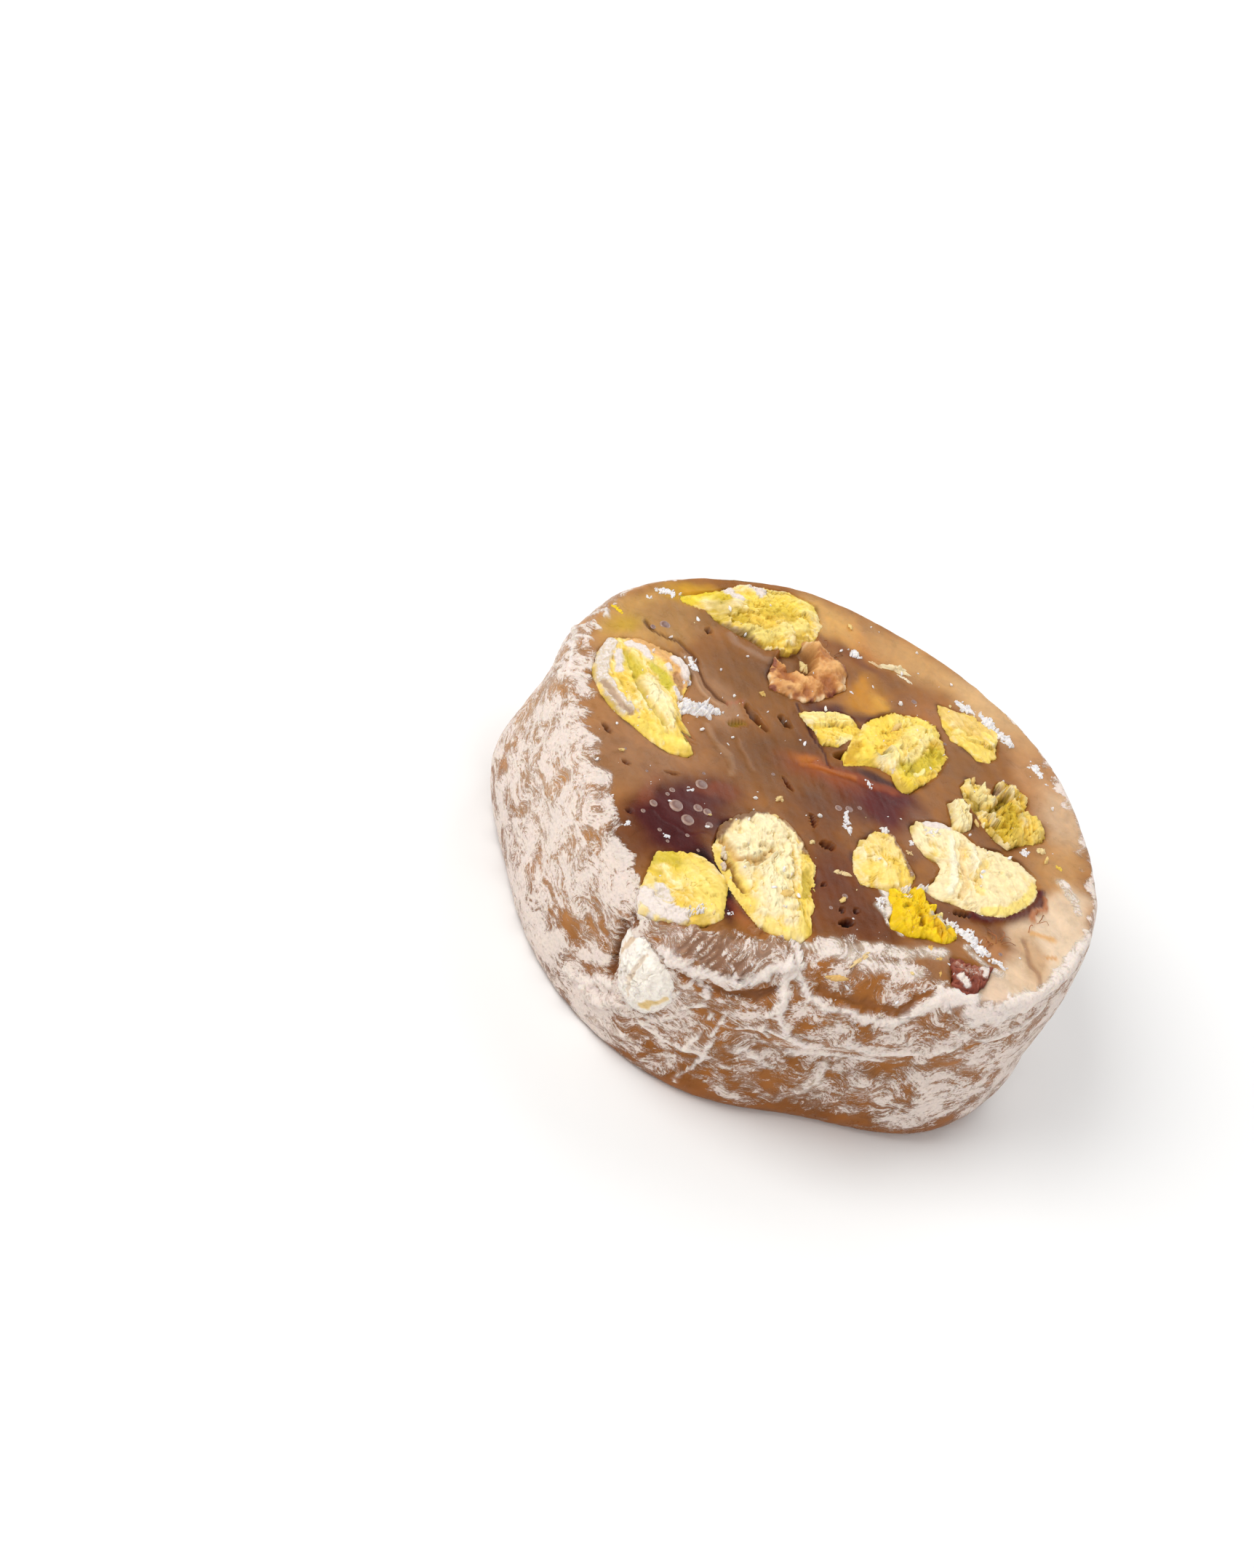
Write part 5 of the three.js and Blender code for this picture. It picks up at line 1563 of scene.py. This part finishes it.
# Bubbles: place and radius in mm.
BUBBLES = (
    (-11.8, -11.2, 0.72), (-10.3, -12.2, 0.66), (-10.0, -10.3, 0.46), (-10.7, -7.3, 0.62),
    (-13.7, -12.1, 0.42), (-8.4, -11.6, 0.4), (-12.8, -9.7, 0.3), (-9.1, -10.2, 0.42),
    (-12.1, -14.6, 0.22), (-11.0, -15.4, 0.18), (-14.2, -13.4, 0.24), (-13.0, -10.4, 0.22),
    (2.2, -1.2, 0.4), (1.3, -1.7, 0.36), (3.0, -0.4, 0.26), (-20.7, 10.6, 0.55),
    (-21.6, 9.6, 0.28), (-9.7, -13.9, 0.2), (-8.2, -14.9, 0.2), (-11.0, -5.8, 0.2),
    (-17.5, -4.1, 0.16), (-18.3, -7.4, 0.14), (-5.4, -1.5, 0.18), (7.6, 13.6, 0.2),
    (3.3, 17.2, 0.3), (-1.4, 10.5, 0.24), (5.3, -11.5, 0.3), (4.6, -13.6, 0.2), (16.6, -5.6, 0.4),
    (20.1, -9.0, 0.2), (-15.6, -8.9, 0.16), (10.6, 1.6, 0.2),
)
# Fibres of skin: how many, and the middle and half length of the tuft they make.
FIBRE_TUFTS = ((9, 19.4, -8.3, 1.1), (4, 21.7, -3.0, 0.9), (3, -5.9, 17.4, 0.7))
# Area of the cut in square metres, over which the strewn bits are counted.
STREWN_AREA = 0.0021


def heap(x, y, long, wide, turn, tall, rough, seed, count=44, rows=11):
    """Points and triangles of a small ragged heap lying on the cut or on a kernel there."""
    share, way, fall, faces = dome(count, rows, 3)
    ring = at_level(fan(way, 1), seed * 0.71)
    edge = 1 + rough * layered(ring * 1.7, 3, seed)
    along, across = (fan(way, edge, share) * np.array([long, wide])).T
    angle = math.radians(turn)
    place_x = x + along * math.cos(angle) - across * math.sin(angle)
    place_y = y + along * math.sin(angle) + across * math.cos(angle)
    place = np.stack([place_x, place_y], 1)
    lumps = layered(at_level(place, seed) / 0.4, 3, seed + 1, 0.7)
    rise = tall * (1 - share**2.5) * (0.7 + 0.8 * lumps) - 0.08
    height = cut_height(place_x, place_y) + np.where(fall > 0, -0.08 - 0.35 * fall, rise)
    return at_level(place, height), faces, lumps


def gather(name, kind, slot, heaps):
    """One piece out of several heaps, each with its points, triangles, colours and powder."""
    points, faces, tones, dusts = zip(*heaps)
    starts = np.cumsum([0] + [len(place) for place in points[:-1]])
    faces = [triangles + start for triangles, start in zip(faces, starts)]
    joined = [np.concatenate(part) for part in (points, faces, tones, dusts)]
    settle(make_piece(name, kind, *joined), slot)


def clump(x, y, long, wide, turn, tall, seed):
    """Several small ragged heaps thrown together over one oval place."""
    dice = np.random.default_rng(seed)
    angle = math.radians(turn)
    parts = [(x, y, long * 0.72, wide * 0.72, turn, tall * 0.8)]
    for _ in range(int(5 + long * 6)):
        way = dice.uniform(0, math.tau)
        off = dice.uniform(0.35, 1.1)
        along, across = math.cos(way) * long * off, math.sin(way) * wide * off
        size = dice.uniform(0.1, 0.34) * min(1, 0.4 + long / 3) * (1.3 - 0.5 * off)
        parts.append((
            x + along * math.cos(angle) - across * math.sin(angle),
            y + along * math.sin(angle) + across * math.cos(angle),
            size * dice.uniform(1, 1.7), size, dice.uniform(0, 180), tall * dice.uniform(0.5, 1.0),
        ))
    return parts


def build_heaps():
    """The larger heaps of powder and crumbs of nut, each group as one piece."""
    heaps = []
    for number, place in enumerate(POWDER_HEAPS):
        for step, part in enumerate(clump(*place, 800 + number)):
            rough, count, rows = (0.8, 16, 4) if step else (0.4, 48, 12)
            seed = 500 + 20 * number + step
            points, faces, lumps = heap(*part, rough, seed, count, rows)
            # Painted light and shade: lighter where the lumps stand higher.
            tone = paint(246, 241, 239) * (1 + 0.06 * lumps)[:, None]
            heaps.append((points, faces, tone, np.zeros(len(points))))
    gather("powder_heaps", "loose_powder", "powder", heaps)
    heaps = []
    for number, row in enumerate(NUT_CRUMBS):
        points, faces, lumps = heap(*row[:6], 0.6, 600 + number)
        # Painted light and shade: lighter where the lumps stand higher.
        tone = paint(*row[6]) * (1 + 0.15 * lumps)[:, None]
        heaps.append((points, faces, tone, 0.25 * smooth(0.2, 0.7, lumps)))
    gather("nut_crumbs", "pistachio_flesh", "nut_yellow", heaps)


def new_tree(name, inputs):
    """A geometry tree with its named inputs, and what it is given."""
    tree = bpy.data.node_groups.new(name, "GeometryNodeTree")
    tree.interface.new_socket("Geometry", in_out="INPUT", socket_type="NodeSocketGeometry")
    for label, kind, default in inputs:
        socket = tree.interface.new_socket(label, in_out="INPUT", socket_type="NodeSocket" + kind)
        if default is not None:
            socket.default_value = default
    tree.interface.new_socket("Geometry", in_out="OUTPUT", socket_type="NodeSocketGeometry")
    return tree, tree.nodes.new("NodeGroupInput").outputs


def painted_copies(tree, points, shape, colour, domain, given, **placing):
    """Sets a painted shape on every point and dresses the lot; ends the tree."""
    layer = {"data_type": "FLOAT_COLOR", "domain": domain}
    paints = {"Name": "tone", "Value": colour}
    if domain == "POINT":
        shape = node(tree, "GeometryNodeStoreNamedAttribute", layer, Geometry=shape, **paints)
        shape = shape.outputs[0]
    made = node(tree, "GeometryNodeInstanceOnPoints", None, Points=points, Instance=shape, **placing)
    if domain == "INSTANCE":
        named = made.outputs[0]
        made = node(tree, "GeometryNodeStoreNamedAttribute", layer, Geometry=named, **paints)
    real = node(tree, "GeometryNodeRealizeInstances", None, Geometry=made.outputs[0])
    dressed = node(
        tree, "GeometryNodeSetMaterial", None,
        Geometry=real.outputs[0], Material=given["Material"],
    )
    node(tree, "NodeGroupOutput", None, Geometry=dressed.outputs[0])


def ragged_bit(tree):
    """A small flattened ball with a lumpy skin."""
    ball = node(tree, "GeometryNodeMeshIcoSphere", None, Radius=1.0, Subdivisions=2)
    lumps = node(tree, "ShaderNodeTexNoise", {"noise_dimensions": "3D"}, Scale=1.4, Detail=2.0)
    push = node(
        tree, "ShaderNodeVectorMath", {"operation": "MULTIPLY_ADD"},
        _0=lumps.outputs["Color"], _1=(1.8, 1.8, 1.8), _2=(-0.9, -0.9, -0.9),
    )
    skin = {"Geometry": ball.outputs["Mesh"], "Offset": push.outputs[0]}
    rough = node(tree, "GeometryNodeSetPosition", None, **skin).outputs[0]
    flat = node(tree, "GeometryNodeTransform", None, Geometry=rough, Scale=(1.2, 0.8, 0.5))
    return flat.outputs[0]


def strew_tree():
    """Strews small ragged bits over a surface, thicker where its strew value is higher."""
    inputs = (
        ("Density", "Float", 1000.0),
        ("Size", "Float", 0.0001),
        ("Seed", "Int", 0),
        ("Pale", "Color", (1, 1, 1, 1)),
        ("Deep", "Color", (1, 1, 1, 1)),
        ("Material", "Material", None),
    )
    tree, given = new_tree("strew_bits", inputs)
    amount = node(tree, "GeometryNodeInputNamedAttribute", {"data_type": "FLOAT"}, Name="strew")
    density = maths(tree, "MULTIPLY", given["Density"], amount.outputs[0])
    spots = node(
        tree, "GeometryNodeDistributePointsOnFaces", {"distribute_method": "RANDOM"},
        Mesh=given["Geometry"], Density=density, Seed=given["Seed"],
    )
    random = "FunctionNodeRandomValue"
    turn = node(
        tree, random, {"data_type": "FLOAT_VECTOR"},
        _0=(0, 0, 0), _1=(math.tau, math.tau, math.tau), Seed=given["Seed"],
    )
    chance = node(tree, random, {"data_type": "FLOAT"}, _2=0.0, _3=1.0, Seed=given["Seed"])
    chance = chance.outputs[1]
    scale = maths(tree, "MULTIPLY_ADD", maths(tree, "POWER", chance, 2.6), 2.4, 0.4)
    size = maths(tree, "MULTIPLY", scale, given["Size"])
    colour = blend(tree, chance, given["Pale"], given["Deep"])
    painted_copies(
        tree, spots.outputs["Points"], ragged_bit(tree), colour, "INSTANCE", given,
        Rotation=turn.outputs[0], Scale=size,
    )
    return tree


def bubble_tree():
    """Sets a low lens on every point, as wide as its size value, with a pale ring of painted highlight round
    a darker middle.
    """
    inputs = (
        ("Flatness", "Float", 0.3),
        ("Ring", "Color", (1, 1, 1, 1)),
        ("Middle", "Color", (0, 0, 0, 1)),
        ("Material", "Material", None),
    )
    tree, given = new_tree("bubble_lenses", inputs)
    ball = node(tree, "GeometryNodeMeshUVSphere", None, Segments=28, Rings=20, Radius=1.0)
    place = node(tree, "GeometryNodeInputPosition")
    parts = node(tree, "ShaderNodeSeparateXYZ", None, Vector=place.outputs[0])
    flat = node(tree, "ShaderNodeCombineXYZ", None, X=parts.outputs[0], Y=parts.outputs[1])
    reach = node(tree, "ShaderNodeVectorMath", {"operation": "LENGTH"}, _0=flat.outputs[0])
    # Painted highlight: the pale ring round the lens.
    ring = spread(tree, reach.outputs["Value"], 0.55, 0.85)
    colour = blend(tree, ring, given["Middle"], given["Ring"])
    size = node(tree, "GeometryNodeInputNamedAttribute", {"data_type": "FLOAT"}, Name="size")
    size = size.outputs[0]
    low = maths(tree, "MULTIPLY", size, given["Flatness"])
    scale = node(tree, "ShaderNodeCombineXYZ", None, X=size, Y=size, Z=low)
    painted_copies(
        tree, given["Geometry"], ball.outputs["Mesh"], colour, "POINT", given,
        Scale=scale.outputs[0],
    )
    return tree


def grow(name, base, tree, slot, **values):
    """Runs a tree on a base mesh and keeps the result as a plain piece on the body."""
    carrier = new_object(name + "_base", base)
    modifier = carrier.modifiers.new("grow", "NODES")
    modifier.node_group = tree
    for item in tree.interface.items_tree:
        if item.in_out == "INPUT" and item.name in values:
            modifier[item.identifier] = values[item.name]
    bpy.context.view_layer.update()
    graph = bpy.context.evaluated_depsgraph_get()
    mesh = bpy.data.meshes.new_from_object(carrier.evaluated_get(graph))
    carrier.modifiers.clear()
    bpy.data.objects.remove(carrier)
    if not len(mesh.polygons):
        raise RuntimeError(name + " came out empty")
    mesh.name = name
    mesh.shade_smooth()
    settle(new_object(name, mesh), slot)


def strewn_bed():
    """A mesh of the jelly and the kernels together, with how thickly bits fall on each place."""
    points, faces, strew = [], [], []
    start = 0
    for name in ["jelly_slice"] + [n + "_flesh" for n in LOOKS] + ["curled_skin"]:
        mesh = bpy.data.objects[name].data
        place = np.zeros(len(mesh.vertices) * 3)
        mesh.vertices.foreach_get("co", place)
        place = place.reshape(-1, 3)
        triangles = np.zeros(len(mesh.polygons) * 3, int)
        mesh.polygons.foreach_get("vertices", triangles)
        own = place / MM - SHIFT
        high = smooth(25.5, 22.5, np.hypot(own[:, 0], own[:, 1])) * smooth(15.5, 17.5, own[:, 2])
        patch = smooth(-0.3, 0.5, layered(own / 3.5, 2, 701))
        strew.append(high * (0.15 + 0.85 * patch))
        points.append(place)
        faces.append(triangles.reshape(-1, 3) + start)
        start += len(place)
    mesh = bpy.data.meshes.new("strewn_bed")
    mesh.from_pydata(np.concatenate(points).tolist(), [], np.concatenate(faces).tolist())
    write_values(mesh, "strew", np.concatenate(strew))
    return mesh


def build_specks(settings):
    """Powder specks and nut crumbs strewn over the cut."""
    tree = strew_tree()
    bed = strewn_bed()
    grow(
        "powder_specks", bed, tree, "powder",
        Density=settings.specks / STREWN_AREA, Size=settings.speck_size, Seed=settings.seed,
        Pale=(*bpy.context.scene.delight_jelly.powder, 1), Deep=(*paint(250, 246, 244), 1),
        Material=finish("loose_powder"),
    )
    grow(
        "strewn_crumbs", bed, tree, "nut_yellow",
        Density=settings.crumbs / STREWN_AREA, Size=settings.crumb_size, Seed=settings.seed + 7,
        Pale=(*paint(246, 226, 172), 1), Deep=(*paint(232, 196, 120), 1),
        Material=finish("pistachio_flesh"),
    )


def build_bubbles():
    """Air bubbles caught just under the cut."""
    mesh = bpy.data.meshes.new("bubble_spots")
    places = [on_cut(x, y) + np.array([0, 0, -0.1 * size]) for x, y, size in BUBBLES]
    mesh.from_pydata(((np.array(places) + SHIFT) * MM).tolist(), [], [])
    write_values(mesh, "size", [size * MM for _, _, size in BUBBLES])
    grow(
        "bubbles", mesh, bubble_tree(), "jelly",
        # The pale ring colour is a painted highlight.
        Flatness=0.32, Ring=(*paint(172, 142, 130), 1), Middle=(*paint(128, 98, 90), 1),
        Material=finish("bubble_film"),
    )


def strand(path, radius, sides=7, steps=18):
    """Points and triangles of a thin closed tube on a smooth path."""
    knots = np.array(path)
    share = np.linspace(0, len(knots) - 1, steps)
    line = np.stack([np.interp(share, range(len(knots)), knots[:, k]) for k in range(3)], 1)
    for _ in range(2):
        line[1:-1] = (line[:-2] + 2 * line[1:-1] + line[2:]) / 4
    run = np.gradient(line, axis=0)
    run /= np.linalg.norm(run, axis=1)[:, None]
    first = np.cross(run, (0, 0, 1))
    first /= np.linalg.norm(first, axis=1)[:, None]
    second = np.cross(run, first)
    turn = (np.arange(sides) / sides * math.tau)[None, :, None]
    thin = radius * np.sin(np.linspace(0.15, 1, steps) * math.pi * 0.9) ** 0.3
    ring = first[:, None] * np.cos(turn) + second[:, None] * np.sin(turn)
    points = (line[:, None] + ring * thin[:, None, None]).reshape(-1, 3)
    return np.concatenate([line[:1], points, line[-1:]]), closed_mesh([sides] * steps)[2]


def build_fibres():
    """A few hairy fibres of nut skin."""
    strands = []
    dice = np.random.default_rng(71)
    for count, x, y, long in FIBRE_TUFTS:
        for _ in range(count):
            way = dice.uniform(0, math.tau)
            start = np.array([x, y]) + dice.uniform(-0.5, 0.5, 2)
            steps = np.cumsum(way + dice.uniform(-0.7, 0.7, 4))
            steps = way + (steps - steps[0] - way * np.arange(4))
            run = np.cumsum(fan(steps, long, 0.45), 0) + start
            over = (0.05, dice.uniform(0.2, 0.5), dice.uniform(0.15, 0.5), 0.05)
            path = [on_cut(*place) + np.array([0, 0, lift]) for place, lift in zip(run, over)]
            points, faces = strand(path, dice.uniform(0.025, 0.05))
            tone = np.tile(paint(170, 100, 52) * dice.uniform(0.6, 1.2), (len(points), 1))
            strands.append((points, faces, tone, np.zeros(len(points))))
    gather("skin_fibres", "pistachio_skin", "nut_skin", strands)


# ---------------- stage

# Where the lens looks past the middle of the slice, as slopes, and the height it looks at in mm.
SIGHT_RIGHT = 0.03807
SIGHT_UP = -0.0162
SIGHT_HEIGHT = 10.0
FLOOR_REACH = 8.0
FLOOR_CORNERS = ((-1, -1), (1, -1), (1, 1), (-1, 1))
# Lights: name, place, size, watts and colour.
LIGHTS = (
    ("key", (-0.34, -0.12, 0.44), 0.4, 2.25, (1.0, 0.99, 0.97)),
    ("fill", (0.3, -0.4, 0.24), 0.45, 0.75, (1.0, 0.98, 0.96)),
    ("back", (0.1, 0.4, 0.35), 0.4, 1.0, (1.0, 1.0, 1.0)),
)


def add_light(name, place, size, watts, colour):
    """A square soft light that looks at the slice."""
    lamp = bpy.data.lights.new(name, "AREA")
    lamp.shape = "SQUARE"
    lamp.size = size
    lamp.energy = watts
    lamp.color = colour
    light = new_object(name, lamp)
    light.location = place
    look = Vector((0, 0, 0.01)) - Vector(place)
    light.rotation_euler = look.to_track_quat("-Z", "Y").to_euler()


def place_camera(settings):
    """The camera, rolled so that the slice leans as it does on its pile."""
    rise, roll = settings.elevation, settings.roll
    right = np.array([1.0, 0, 0])
    up = np.array([0, math.sin(rise), math.cos(rise)])
    back = np.array([0, -math.cos(rise), math.sin(rise)])
    turned_right = math.cos(roll) * right + math.sin(roll) * up
    turned_up = -math.sin(roll) * right + math.cos(roll) * up
    sight = turned_right * SIGHT_RIGHT + turned_up * SIGHT_UP - back
    spot = (np.array([0, 0, SIGHT_HEIGHT]) + SHIFT) * MM - sight * settings.distance
    camera = new_object("camera", bpy.data.cameras.new("camera"))
    turn = Matrix((turned_right, turned_up, back)).transposed().to_4x4()
    camera.matrix_world = Matrix.Translation(Vector(spot)) @ turn
    camera.data.lens = settings.lens
    camera.data.sensor_width = 36
    camera.data.clip_start = 0.01
    camera.data.dof.use_dof = False
    bpy.context.scene.camera = camera


def build_floor(settings):
    """The plain pale floor."""
    mesh = bpy.data.meshes.new("floor")
    corners = [(x * FLOOR_REACH, y * FLOOR_REACH, 0) for x, y in FLOOR_CORNERS]
    mesh.from_pydata(corners, [], [(0, 1, 2, 3)])
    material, _, shader = fresh_material("floor_card")
    shader.inputs["Base Color"].default_value = (*settings.floor_colour, 1)
    shader.inputs["Roughness"].default_value = 0.9
    shader.inputs["Specular IOR Level"].default_value = 0.2
    mesh.materials.append(material)
    new_object("floor", mesh)


def build_lights():
    """Soft studio light from above and behind, with a weak fill."""
    for light in LIGHTS:
        add_light(*light)
    world = bpy.data.worlds.new("studio")
    world.use_nodes = True
    background = world.node_tree.nodes["Background"]
    background.inputs["Color"].default_value = (1, 1, 1, 1)
    background.inputs["Strength"].default_value = 0.42
    bpy.context.scene.world = world
    bpy.context.scene.view_settings.view_transform = "Standard"


# ---------------- operators and panel


class Maker:
    """What every maker of the slice shares."""

    bl_options = {"REGISTER", "UNDO"}


class DELIGHT_OT_stage(Maker, bpy.types.Operator):
    """Sets up the camera, the floor and the lights"""

    bl_idname = "delight.stage"
    bl_label = "Stage"

    def execute(self, context):
        settings = context.scene.delight_stage
        place_camera(settings)
        build_floor(settings)
        build_lights()
        return {"FINISHED"}


class DELIGHT_OT_jelly(Maker, bpy.types.Operator):
    """Makes the jelly slice with its moist cut and powdered side"""

    bl_idname = "delight.jelly"
    bl_label = "Jelly Slice"

    def execute(self, context):
        settle(build_jelly(context.scene.delight_jelly), "jelly", "jelly")
        return {"FINISHED"}


class DELIGHT_OT_kernels(Maker, bpy.types.Operator):
    """Makes the broken pistachio kernels of the cut"""

    bl_idname = "delight.kernels"
    bl_label = "Kernels"

    def execute(self, context):
        for name in LOOKS:
            settle(build_kernel(name, context.scene.delight_kernels), LOOKS[name][5], name)
        return {"FINISHED"}


class DELIGHT_OT_curl(Maker, bpy.types.Operator):
    """Makes the curled, papery skin of a kernel"""

    bl_idname = "delight.curl"
    bl_label = "Curled Skin"

    def execute(self, context):
        settle(build_curl(), "nut_skin", "skin_curl")
        return {"FINISHED"}


class DELIGHT_OT_side_kernel(Maker, bpy.types.Operator):
    """Makes the powdered kernel that stands out of the side"""

    bl_idname = "delight.side_kernel"
    bl_label = "Side Kernel"

    def execute(self, context):
        settle(build_side_kernel(), "nut_powdered", "kernel_wall")
        return {"FINISHED"}


class DELIGHT_OT_heaps(Maker, bpy.types.Operator):
    """Makes the larger heaps of powder and the larger nut crumbs"""

    bl_idname = "delight.heaps"
    bl_label = "Powder Heaps"

    def execute(self, context):
        build_heaps()
        return {"FINISHED"}


class DELIGHT_OT_specks(Maker, bpy.types.Operator):
    """Strews powder specks and small crumbs over the cut"""

    bl_idname = "delight.specks"
    bl_label = "Specks"

    def execute(self, context):
        build_specks(context.scene.delight_coat)
        return {"FINISHED"}


class DELIGHT_OT_bubbles(Maker, bpy.types.Operator):
    """Makes the air bubbles under the cut"""

    bl_idname = "delight.bubbles"
    bl_label = "Bubbles"

    def execute(self, context):
        build_bubbles()
        return {"FINISHED"}


class DELIGHT_OT_fibres(Maker, bpy.types.Operator):
    """Makes the fibres of nut skin"""

    bl_idname = "delight.fibres"
    bl_label = "Skin Fibres"

    def execute(self, context):
        build_fibres()
        return {"FINISHED"}


class DELIGHT_PT_panel(bpy.types.Panel):
    """Lists the makers of the slice"""

    bl_idname = "DELIGHT_PT_panel"
    bl_label = "Turkish Delight"
    bl_space_type = "VIEW_3D"
    bl_region_type = "UI"
    bl_category = "Delight"

    def draw(self, context):
        for group in SETTINGS:
            for name in SETTINGS[group].__annotations__:
                self.layout.prop(getattr(context.scene, group), name)
        for maker in MAKERS:
            self.layout.operator(maker.bl_idname)


SETTINGS = {
    "delight_jelly": DelightJellySettings,
    "delight_kernels": DelightKernelSettings,
    "delight_coat": DelightCoatSettings,
    "delight_stage": DelightStageSettings,
}
MAKERS = (
    DELIGHT_OT_stage,
    DELIGHT_OT_jelly,
    DELIGHT_OT_kernels,
    DELIGHT_OT_curl,
    DELIGHT_OT_side_kernel,
    DELIGHT_OT_heaps,
    DELIGHT_OT_bubbles,
    DELIGHT_OT_fibres,
    DELIGHT_OT_specks,
)


def register():
    """Registers the settings, the makers and the panel."""
    for group, settings in SETTINGS.items():
        bpy.utils.register_class(settings)
        setattr(bpy.types.Scene, group, bpy.props.PointerProperty(type=settings))
    for maker in MAKERS:
        bpy.utils.register_class(maker)
    bpy.utils.register_class(DELIGHT_PT_panel)


def unregister():
    """Takes the panel, the makers and the settings out again."""
    bpy.utils.unregister_class(DELIGHT_PT_panel)
    for maker in reversed(MAKERS):
        bpy.utils.unregister_class(maker)
    for group, settings in reversed(SETTINGS.items()):
        delattr(bpy.types.Scene, group)
        bpy.utils.unregister_class(settings)


def main():
    """Builds the whole slice."""
    register()
    bpy.ops.delight.stage()
    bpy.ops.delight.jelly()
    bpy.ops.delight.kernels()
    bpy.ops.delight.curl()
    bpy.ops.delight.side_kernel()
    bpy.ops.delight.heaps()
    bpy.ops.delight.bubbles()
    bpy.ops.delight.fibres()
    bpy.ops.delight.specks()


if __name__ == "__main__":
    main()
